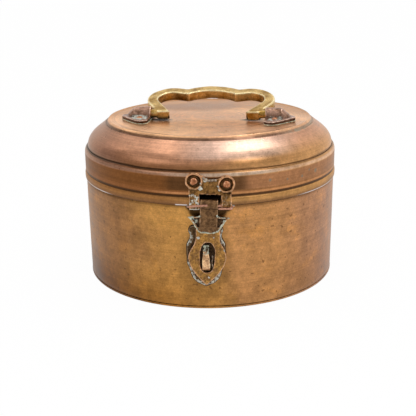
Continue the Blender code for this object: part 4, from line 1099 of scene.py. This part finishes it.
def rivets(name, spots, head, stack, hammering, seed, body, slot, *nodes, key="rivet"):
    """Rivets at (seat, direction) spots; head is the head's radius and height and the shank's radius."""
    values = dict(zip(("Head Radius", "Head Height", "Shank Radius"), head))
    values.update({"Stack": stack, "Hammering": hammering, "Seed": seed})
    seats, ways = zip(*spots)
    made = grown(name, "Rivets", [tuple(seat) for seat in seats], [], key, values, ways)
    set_relief(made.data, 3, 0.12)
    finished(made, body, slot, *nodes)


class BOX_OT_rivets(bpy.types.Operator):
    """Make the rivets of the leaves, the saddles and the hasp"""
    bl_idname = "brass_box.rivets"
    bl_label = "Rivets"

    def execute(self, context):
        upper, lower, saddle = [], [], []
        for node_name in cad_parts:
            if "rivet" not in node_name or node_name == "hasp_strap_rivet":
                continue
            low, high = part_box(node_name)
            middle = (low + high) / 2
            if node_name.startswith("saddle"):
                saddle.append((Vector((middle.x, middle.y, high.z - 1.3 * MM)), Vector((0, 0, 1))))
                continue
            way = Vector((middle.x, middle.y, 0)).normalized()
            corners = [Vector(v.co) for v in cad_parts[node_name].data.vertices]
            crown = max(c.x * way.x + c.y * way.y for c in corners)
            seat = way * (crown - 1.8 * MM) + Vector((0, 0, middle.z))
            (lower if "lower" in node_name else upper).append((seat, way))
        head = (context.scene.box_hardware.rivet_radius, 1.8 * MM, 1.4 * MM)
        rivets("leaf_rivets", upper, head, 3.3 * MM, 0.00075, 1.3, "lid", "rivet_copper",
               "hasp_leaf_rivet_left", "hasp_leaf_rivet_right", "hinge_rivet_upper_left",
               "hinge_rivet_upper_right")
        rivets("lower_leaf_rivets", lower, head, 3.4 * MM, 0.0006, 4.1, "box", "rivet_copper",
               "hinge_rivet_lower_left", "hinge_rivet_lower_right")
        rivets("saddle_rivets", saddle, (2.3 * MM, 1.2 * MM, 1.2 * MM), 3.6 * MM, 0.0005, 2.6, "lid",
               "saddle_brass", "saddle_left_rivet_front", "saddle_left_rivet_back",
               "saddle_right_rivet_front", "saddle_right_rivet_back")
        low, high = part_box("hasp_strap_rivet")
        seat = Vector(((low.x + high.x) / 2, low.y + 0.5 * MM, (low.z + high.z) / 2))
        rivets("strap_rivet", [(seat, Vector((0, -1, 0)))], (1.3 * MM, 0.45 * MM, 0.7 * MM), 2.4 * MM, 0.0002,
               1.0, "hasp", "hasp_bronze", "hasp_strap_rivet", key="strap")
        return {"FINISHED"}


# Hasp

def leaning():
    """How the hasp hangs: turned a little in its own plane."""
    pivot = Matrix.Translation((HASP_X, 0, bpy.context.scene.box_hardware.pin_z))
    return pivot @ Matrix.Rotation(HASP_LEAN, 4, "Y") @ pivot.inverted()


class BOX_OT_hasp(bpy.types.Operator):
    """Make the hasp: the anchor-shaped strap, the slotted plate and the crust round the strap's foot"""
    bl_idname = "brass_box.hasp"
    bl_label = "Hasp"

    def execute(self, context):
        sizes, lean = context.scene.box_hardware, leaning()
        x, z, half = HASP_X, sizes.pin_z, sizes.strap_width / 2
        sheet, thin, bore, ear = 1.6 * MM, 1.2 * MM, 1.4 * MM, 15.0 * MM
        back = -sizes.pin_y + bore + sheet
        ear_z, foot = z - 8.6 * MM, z - 20.4 * MM
        low = ear_z - 0.5 * MM
        anchor = [(ear * across, low - (low - foot) * down) for across, down in STRAP_FOOT]
        anchor = eased(anchor + [(0, foot)])
        neck = [(half, ear_z + 1.2 * MM), (half * 1.25, ear_z + 0.1 * MM), (ear * 0.8, ear_z + 0.1 * MM)]
        right = [(half, z - bore), (half, ear_z + 1.4 * MM)] + eased(neck, 4) + anchor
        outline = mirrored(right, x)
        path = [(back - sheet / 2, z - 4.0 * MM)]
        path += arc((-sizes.pin_y + 0.3 * MM, z + 1.1 * MM), 2.7 * MM, 0, math.radians(265))
        solids = [prism(outline, back - sheet, back), prism(strip(path, sheet), x - half, x + half, "X")]
        strap = forged("hasp_strap_forged", "strap", solids, 0.27, 4, move=lean)
        place = get_points(strap.data)
        edge = edge_distance(place[:, ::2], [tuple((lean @ Vector((a, 0, b))).xz) for a, b in outline])
        upright = lean.inverted()
        across, height = np.array([(upright @ Vector(spot)).xz[:] for spot in place]).T
        beside = unit((np.abs(across - x) - half + 0.2 * MM) / (1.0 * MM))
        hollow = beside * unit((edge - 0.7 * MM) / (0.6 * MM)) * (height > foot + 4.5 * MM)
        hollow *= place[:, 1] < back - sheet * 0.5
        place[:, 1] += hollow * 0.7 * MM
        set_points(strap.data, place)
        worked(strap.data, 9, 0.22, (0.26, 3.4, 8))
        below = unit((ear_z + 2.4 * MM - place[:, 2]) / (1.5 * MM))
        ears = near_spots(across, height, STRAP_SPOTS, z)
        set_field(strap.data, "crust", np.maximum(unit(1 - edge / (1.3 * MM)) * below * 0.8, ears * 0.62))
        set_field(strap.data, "soot_and_shade", hollow * 0.8)
        finished(strap, "hasp", "hasp_bronze", "hasp_strap")

        plate_back = back + GAP + thin
        top, drop, wide = z - 10.0 * MM, 50.2 * MM, 8.7 * MM
        outline = mirrored(eased([(wide * out, top - drop * down) for down, out in PLATE_HALF]), x)
        slot = []
        for step in range(40):
            turn = 2 * math.pi * (step + 0.5) / 40
            out, up = (math.copysign(abs(v) ** 0.8, v) for v in (math.cos(turn), math.sin(turn)))
            slot.append((x + 5.3 * MM * out, z - 39.3 * MM + 11.5 * MM * up))
        plate = forged("hasp_plate_forged", "plate", [prism(outline, plate_back - thin, plate_back)], 0.27, 3,
                       [prism(slot, plate_back - 4 * MM, plate_back + 3 * MM)], lean)
        place = worked(plate.data, 9, 0.2, (0.34, 5.0, 12), (0.12, 1.6, 13))
        dots = near_spots(place[:, 0], place[:, 2], PLATE_SPOTS, core=1.0)
        set_field(plate.data, "crust", dots * 1.1)
        # Painted shade on the plate's back and in the back of its slot
        set_field(plate.data, "soot_and_shade", np.where(place[:, 1] > plate_back - 0.5 * MM, 0.9, 0))
        finished(plate, "hasp", "hasp_bronze", "hasp_plate")

        front = plate_back - thin - 0.1 * MM
        path = [(across, front, up) for across, up in mirrored(anchor[6:], x)[::-1]]
        crust = bead("strap_crust", path, 0.72 * MM, "verdigris", 2.1, 0.4, seed=3.0)
        crust.data.transform(lean)
        finished(crust, "hasp", "hasp_bronze")
        return {"FINISHED"}


class BOX_OT_staple(bpy.types.Operator):
    """Make the staple and the scalloped plate that it stands on"""
    bl_idname = "brass_box.staple"
    bl_label = "Staple"

    def execute(self, context):
        drum = context.scene.box_shells.drum_radius
        seat = drum + GAP / 2
        top, foot, half, x = 63.8 * MM, 18.4 * MM, 13.5 * MM, -3.6 * MM
        side = [(half * wide, top - (top - foot) * down) for down, wide in STAPLE_PLATE_HALF]
        outline = mirrored(eased(side), x)
        plate = forged("scallop_plate", "scallop", [bent(prism(outline, 0, 1.0 * MM), seat)], 0.28, 3)
        across, height, _ = unbent(worked(plate.data, 9, 0.2, (0.26, 3.0, 14)), seat)
        edge = edge_distance(np.stack((across, height), 1), outline)
        patches = near_spots(across, height, SCALLOP_SPOTS)
        set_field(plate.data, "crust", unit(1.2 - edge / (2.4 * MM)) * 0.9 * patches)
        inside = unit((edge - 2.0 * MM) / (1.0 * MM))
        soot_and_shade = np.maximum(inside * 0.6, 0.30 * (1 - patches))
        # Painted shade, near black, where the plate shows through the hasp's slot
        from_slot = np.hypot((across + 2.6 * MM) / (7.5 * MM), (height - 40.6 * MM) / (13.0 * MM))
        set_field(plate.data, "soot_and_shade", np.maximum(soot_and_shade, 0.95 * unit((1.15 - from_slot) / 0.25)))
        finished(plate, "box", "hasp_bronze", "staple_plate")
        # A black bead round the plate's outline: a painted shadow line
        path = [on_front(a, b, drum + 0.35 * MM) for a, b in outline]
        shadow_line = bead("scallop_shadow_line", path, 0.50 * MM, "shadow_line", 0.8, 0.5, True, 12.0)
        finished(shadow_line, "box", "hasp_bronze")
        path = [(0.9 * MM + 0.3 * MM * math.sin(step), -drum - 1.5 * MM, 41.8 * MM - step * 1.1 * MM)
                for step in range(9)]
        crust = bead("slot_crust", path, 0.42 * MM, "deposit", 1.2, 0.3, seed=15.0)
        finished(crust, "box", "hasp_bronze")

        radius, bar, z = 7.9 * MM, 1.6 * MM, 41.0 * MM
        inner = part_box("staple")[1].y - bar / 2
        path = [(inner, z + radius + 7 * MM), (inner, z + radius)]
        path += arc((-drum - 3.4 * MM, z), radius, math.pi / 2, 3 * math.pi / 2, 36)
        path += [(inner, z - radius), (inner, z - radius - 7 * MM)]
        loop = prism(strip(path, bar), -6.3 * MM, -0.7 * MM, "X")
        staple = forged("staple_loop", "staple", [loop], 0.22, 9)
        for vertex in staple.data.vertices:
            share = clamp((vertex.co.z - z + 2 * MM) / (9 * MM))
            vertex.co.x += (-3.9 * MM - vertex.co.x) * 0.26 * share
            if vertex.co.y < -drum - 2 * MM:
                vertex.co.z -= 1.2 * MM * share
        place = worked(staple.data, 7, 0.2, (0.30, 2.4, 17))
        above = place[:, 2] - z
        # Painted shade: the staple's top nearly black, like the dark slot round it
        set_field(staple.data, "soot_and_shade", unit((above - 6.0 * MM) / (0.7 * MM)) * 0.95)
        crest = unit((above - 4.0 * MM) / (1.2 * MM)) * 0.42
        near_wall = unit((place[:, 1] + 104.5 * MM) / (1 * MM)) * 0.5
        set_field(staple.data, "crust", np.maximum(crest, near_wall))
        finished(staple, "box", "staple_brass", "staple")
        return {"FINISHED"}


# Bail and saddles

def bail_place(lift):
    """Where the bail's pivot line lies, at a height over the disc."""
    middle = Vector((-1.0 * MM, -16.0 * MM, DOME_TOP_Z - 0.5 * MM + lift))
    return Matrix.Translation(middle) @ Matrix.Rotation(BAIL_TURN, 4, "Z")


class BOX_OT_handle(bpy.types.Operator):
    """Make the lobed bail with its two pivot rods"""
    bl_idname = "brass_box.handle"
    bl_label = "Handle"

    def execute(self, context):
        sizes = context.scene.box_handle
        reach, wide, high = sizes.reach, sizes.bar_width, sizes.bar_height
        cusp_u, cusp_v = 20.0 * MM, 34.9 * MM
        lobe_u, lobe_v, lobe_radius, heel = 31.0 * MM, 21.6 * MM, 15.6 * MM, 3.2 * MM
        sag = reach - cusp_v
        big = (cusp_u ** 2 + sag ** 2) / (2 * sag)
        line = arc((0, reach - big), big, math.pi / 2, math.pi / 2 - math.asin(cusp_u / big), 12)
        end = math.radians(-31.0)
        line += arc((lobe_u, lobe_v), lobe_radius, math.radians(108.0), end, 24)
        bend, along = Vector(line[-1]), Vector((math.sin(end), -math.cos(end)))
        line.append(tuple(bend + along * (bend.y + heel + wide) / -along.y))
        path = [(-u, v) for u, v in line[:0:-1]] + line
        bar = prism(strip(path, wide), -high / 2, high / 2, "Z")
        for vertex in bar.verts:
            if vertex.co.z < 0:
                vertex.co.z -= 0.3 * MM + 0.8 * MM * clamp((vertex.co.y - 4 * MM) / (16 * MM))
        cut = sliced(bar, (0, -heel, 0), (0, -1, 0), clear_outer=True)
        bmesh.ops.holes_fill(bar, edges=[e for e in cut if isinstance(e, bmesh.types.BMEdge)])
        solids = [bar]
        for hand in (-1, 1):
            start, stop = sorted((hand * (lobe_u + wide / 2), hand * (sizes.saddle_inner + 12.5 * MM)))
            rod = arc((0, 0), sizes.rod_radius, 0, 2 * math.pi * 23 / 24, 23)
            solids.append(prism(rod, start, stop, "X"))
        handle = forged("bail_handle", "handle", solids, 0.42, 24)
        tip = lobe_u - 9 * MM
        for vertex in handle.data.vertices:
            spot = vertex.co
            if spot.y < 1.0 * MM and abs(spot.x) < lobe_u:
                near_tip = clamp((tip + 4.5 * MM - abs(spot.x)) / (4.5 * MM))
                below = clamp((-spot.z - 0.5 * MM) / (2.5 * MM))
                spot.z *= 1 - 0.30 * near_tip ** 2 * below
                spot.y += 0.9 * MM * below ** 2 * clamp((-spot.y - 1.0 * MM) / (2 * MM))
        place = bail_place(sizes.pivot_lift) @ Matrix.Rotation(BAIL_REST, 4, "X")
        handle.data.transform(place)
        worked(handle.data, 12, 0.42, (0.22, 9.0, 21), (0.07, 1.8, 22))
        # Painted shade on the heels' ends and on the bar's underside
        back = place.inverted()
        soot_and_shade = []
        for vertex in handle.data.vertices:
            spot = back @ vertex.co
            if spot.y < -1.9 * MM and abs(spot.x) < lobe_u:
                soot_and_shade.append(min(max((-spot.z + 1.9 * MM) / (2.8 * MM), 0.40), 0.93))
            else:
                soot_and_shade.append(0.6 * clamp((-spot.z - 0.6 * MM) / (2.4 * MM)))
        set_field(handle.data, "soot_and_shade", soot_and_shade)
        finished(handle, "bail", "handle_brass", "handle")
        return {"FINISHED"}


def saddle_hump(hand, inner, outer, lift):
    """The arch over a rod, which slopes down and narrows outwards."""
    slope_from, foot_at = 12.0 * MM, 20.0 * MM
    hump = bmesh.new()
    sections = []
    for step in range(13):
        spot = slope_from + (foot_at - slope_from) * step / 12 if step else 0.0
        past = max(spot - slope_from, 0) / (foot_at - slope_from)
        wide = outer * max(math.sqrt(max(1 - past ** 2, 0)), 0.12)
        high = (lift + outer) * (0.20 + 0.80 * (1 - past) ** 0.75)
        spring = high * lift / (lift + outer)
        arch = [(-wide * math.cos(a), spring + (high - spring) * math.sin(a))
                for a in [math.pi * part / 20 for part in range(21)]]
        section = [(-wide, 0)] + arch + [(wide, 0)]
        sections.append([hump.verts.new((hand * (inner + spot), w, h)) for w, h in section])
    for near, far in zip(sections, sections[1:]):
        for step in range(len(near)):
            after = (step + 1) % len(near)
            hump.faces.new((near[step], near[after], far[after], far[step]))
    hump.faces.new(sections[0])
    hump.faces.new(sections[-1])
    bmesh.ops.recalc_face_normals(hump, faces=hump.faces)
    return hump


class BOX_OT_saddles(bpy.types.Operator):
    """Make the two cast saddles that carry the bail, with the crust round them, which also stands for a
    painted highlight on the disc
    """
    bl_idname = "brass_box.saddles"
    bl_label = "Saddles"

    def execute(self, context):
        sizes = context.scene.box_handle
        inner, reach, wing, root, tip = sizes.saddle_inner, 23.0 * MM, 21.0 * MM, 2.8 * MM, 2.5 * MM
        bore = sizes.rod_radius + 0.3 * MM
        outer = bore + 1.9 * MM
        lift = sizes.pivot_lift - GAP
        place = bail_place(GAP)
        shape = eased([(inner + reach * along, wing * wide) for along, wide in SADDLE_HALF], 5)
        tunnel = [(-bore, -3 * MM), (-bore, lift)] + arc((0, lift), bore, math.pi, 0) + [(bore, -3 * MM)]
        for side, hand in (("left", -1), ("right", 1)):
            outline = [(hand * u, w) for u, w in shape] + [(hand * u, -w) for u, w in shape[::-1]]
            solids = [prism(outline, 0, root, "Z"), saddle_hump(hand, inner, outer, lift)]
            start, stop = sorted((hand * (inner - 3 * MM), hand * (inner + 13.5 * MM)))
            hole = prism(tunnel, start, stop, "X")
            saddle = forged(f"saddle_{side}_cast", "saddle", solids, 0.30, 5, [hole])
            for vertex in saddle.data.vertices:
                away = (abs(vertex.co.y) - outer + 0.2 * MM) / (wing - outer)
                if away > 0 and vertex.co.z > 0.4 * MM:
                    vertex.co.z *= 1 - (1 - tip / root) * min(away, 1)
            spots = worked(saddle.data, 10, 0.26, (0.26, 4.5, 25 + hand))
            edge = edge_distance(spots[:, :2], outline)
            along, sideways, up = spots.T
            from_rivet = along - hand * (inner + 7.5 * MM)
            rivet = np.min([np.hypot(from_rivet, sideways - w * MM) for w in (-10, 10)], axis=0)
            crust = unit(1.4 - np.abs(rivet - 3.6 * MM) / (4.0 * MM)) * 0.80
            crust *= unit((edge - 1.2 * MM) / MM) * (1.0 if hand < 0 else 0.45)
            set_field(saddle.data, "crust", np.where(up < root * 1.4, crust, 0))
            # Painted shade on the flange's front edges and the hump's lower flanks, and dark rings round the
            # rivets
            rim = unit(1.6 - edge / (0.5 * MM)) * unit((2.2 * MM - up) / (0.4 * MM)) * 0.95
            tops = np.where(up < root * 1.3, np.maximum(0.9 * on_ring(rivet, 2.7, 0.6), 0.25), 0)
            flanks = np.where(up > root * 1.3, unit((7.0 * MM - up) / (4 * MM)) * 0.5, 0)
            set_field(saddle.data, "soot_and_shade", np.maximum(np.maximum(rim, tops), flanks))
            saddle.data.transform(place)
            finished(saddle, "lid", "saddle_brass", f"saddle_{side}")
            # Verdigris round each flange; its pale line along the flange's foot also stands for a painted
            # highlight on the disc
            path = [(a, b, 0.0) for a, b in outline]
            seam = bead(f"saddle_{side}_crust", path, 0.24 * MM, "verdigris", 3.0, 0.5, True, 5.0 + hand)
            seam.data.transform(place)
            finished(seam, "lid", "saddle_brass")
        return {"FINISHED"}


# Stage: the camera as it was fitted, in metres, degrees and pixels of a picture 416 wide

SENSOR, FOCAL, PICTURE_WIDTH = 36.0, 825.6, 416
CAMERA_PLACE = (0, -0.650, 0.2466)
PITCH, YAW, ROLL = math.radians(17.14), math.radians(-0.18), math.radians(-0.79)

# Lamps: name, place, aim, size, power, and the way along which the first size lies
LAMPS = (
    ("soft_top", (0.33, 0.10, 1.05), (0.025, -0.085, 0.116), (0.44, 0.09), 1.3, (0.84, 0.54, 0.0)),
    ("soft_top_left", (-0.42, 0.035, 1.03), (-0.032, -0.085, 0.114), (0.16, 0.10), 0.22, (1.0, 0.2, 0.0)),
    ("soft_far_left", (-0.77, 0.325, 0.71), (-0.066, -0.065, 0.112), (0.10, 0.22), 0.20, (0.6, 0.8, 0.0)),
    ("soft_front", (0.60, -0.72, 0.90), (0.0, 0.0, 0.08), (0.50, 0.50), 1.5, (1.0, 0.8, 0.0)),
    ("soft_left", (-0.80, -0.60, 0.60), (0.0, 0.0, 0.06), (0.50, 0.50), 0.7, (1.0, -1.3, 0.0)),
)


def standing(name, data, place, side, back):
    """An object at a place, with its x axis along side and its z axis along back."""
    obj = as_object(name, data)
    turn = Matrix((side, back.cross(side), back)).transposed()
    obj.matrix_world = Matrix.Translation(place) @ turn.to_4x4()
    return obj


def seen_rays(tree):
    """1 for rays that show a thing to the camera, straight or by way of something shiny or clear."""
    rays = node(tree, "ShaderNodeLightPath")
    return rays["Is Camera Ray"].at_least(rays["Is Glossy Ray"], rays["Is Transmission Ray"])


def matt(name, colour, rough):
    made = bpy.data.materials.new(name)
    made.use_nodes = True
    shader = made.node_tree.nodes["Principled BSDF"]
    feed(shader.inputs["Base Color"], colour)
    feed(shader.inputs["Roughness"], rough)
    return made, Field(shader.outputs[0])


class BOX_OT_stage(bpy.types.Operator):
    """Make the floor, the light and the camera"""
    bl_idname = "brass_box.stage"
    bl_label = "Stage"

    def execute(self, context):
        scene = context.scene
        scene.view_settings.view_transform = "Standard"
        ahead = Vector((math.sin(YAW) * math.cos(PITCH), math.cos(YAW) * math.cos(PITCH), -math.sin(PITCH)))
        right = Vector((math.cos(YAW), -math.sin(YAW), 0))
        side = right * math.cos(ROLL) + right.cross(ahead) * math.sin(ROLL)
        camera = bpy.data.cameras.new("photo_camera")
        camera.lens = SENSOR * FOCAL / PICTURE_WIDTH
        camera.sensor_width = SENSOR
        scene.camera = standing("photo_camera", camera, CAMERA_PLACE, side, -ahead)

        world = bpy.data.worlds.new("studio")
        world.use_nodes = True
        shade = world.node_tree.nodes["Background"]
        feed(shade.inputs["Strength"], seen_rays(world.node_tree) * 0.10 + 0.90)
        feed(shade.inputs["Color"], (1.0, 1.0, 1.0))
        scene.world = world

        floor = bpy.data.meshes.new("floor")
        floor.from_pydata([(-4, -4, 0), (4, -4, 0), (4, 4, 0), (-4, 4, 0)], [], [(0, 1, 2, 3)])
        paper, shader = matt("pale_paper", (0.90, 0.89, 0.88), 0.9)
        tree = paper.node_tree
        white = node(tree, "ShaderNodeEmission", Color=(1.0, 1.0, 1.0), Strength=1.0)
        mixed = node(tree, "ShaderNodeMixShader", _0=seen_rays(tree) * 0.97, _1=shader, _2=white)
        feed(tree.nodes["Material Output"].inputs["Surface"], mixed)
        floor.materials.append(paper)
        ground = as_object("floor", floor)

        corners = []
        for step in range(13):
            turn = math.radians(-120 + 17 * step)
            for out, height in ((1.5, -0.3), (1.5, 0.9), (1.15, 2.0)):
                corners.append((out * math.sin(turn), -out * math.cos(turn), height))
        faces = [(k, k + 3, k + 4, k + 1) for step in range(12) for k in (step * 3, step * 3 + 1)]
        screen = bpy.data.meshes.new("dark_screen")
        screen.from_pydata(corners, [], faces)
        screen.materials.append(matt("grey_felt", (0.66, 0.64, 0.62), 1.0)[0])
        wall = as_object("dark_screen", screen)
        wall.visible_camera = False
        wall.visible_diffuse = False
        wall.visible_shadow = False

        for name, place, aim, size, power, along in LAMPS:
            lamp = bpy.data.lights.new(name, "AREA")
            lamp.shape = "RECTANGLE"
            lamp.size, lamp.size_y = size
            lamp.energy = power
            back = (Vector(place) - Vector(aim)).normalized()
            side = (Vector(along) - back * back.dot(Vector(along))).normalized()
            standing(name, lamp, place, side, back)
        return {"FINISHED"}


class BOX_PT_panel(bpy.types.Panel):
    """The buttons that make the box, piece by piece"""
    bl_idname = "BOX_PT_panel"
    bl_label = "Brass box"
    bl_space_type = "VIEW_3D"
    bl_region_type = "UI"
    bl_category = "Brass box"

    def draw(self, context):
        for name in GROUPS:
            group = getattr(context.scene, name)
            box = self.layout.box()
            for key in group.bl_rna.properties.keys():
                if key not in ("rna_type", "name"):
                    box.prop(group, key)
        for operator in OPERATORS:
            self.layout.operator(operator.bl_idname)


OPERATORS = (
    BOX_OT_stage, BOX_OT_drum, BOX_OT_lid, BOX_OT_leaves, BOX_OT_pins, BOX_OT_rivets, BOX_OT_hasp,
    BOX_OT_staple, BOX_OT_handle, BOX_OT_saddles,
)
GROUPS = {"box_shells": ShellSizes, "box_hardware": HardwareSizes, "box_handle": HandleSizes,
          "box_finishes": Finishes}


def register():
    for group in GROUPS.values():
        bpy.utils.register_class(group)
    for name, group in GROUPS.items():
        setattr(bpy.types.Scene, name, bpy.props.PointerProperty(type=group))
    for operator in OPERATORS:
        bpy.utils.register_class(operator)
    bpy.utils.register_class(BOX_PT_panel)


def unregister():
    bpy.utils.unregister_class(BOX_PT_panel)
    for operator in reversed(OPERATORS):
        bpy.utils.unregister_class(operator)
    for name, group in GROUPS.items():
        delattr(bpy.types.Scene, name)
        bpy.utils.unregister_class(group)


def main():
    register()
    for operator in OPERATORS:
        family, name = operator.bl_idname.split(".")
        getattr(getattr(bpy.ops, family), name)()


if __name__ == "__main__":
    main()
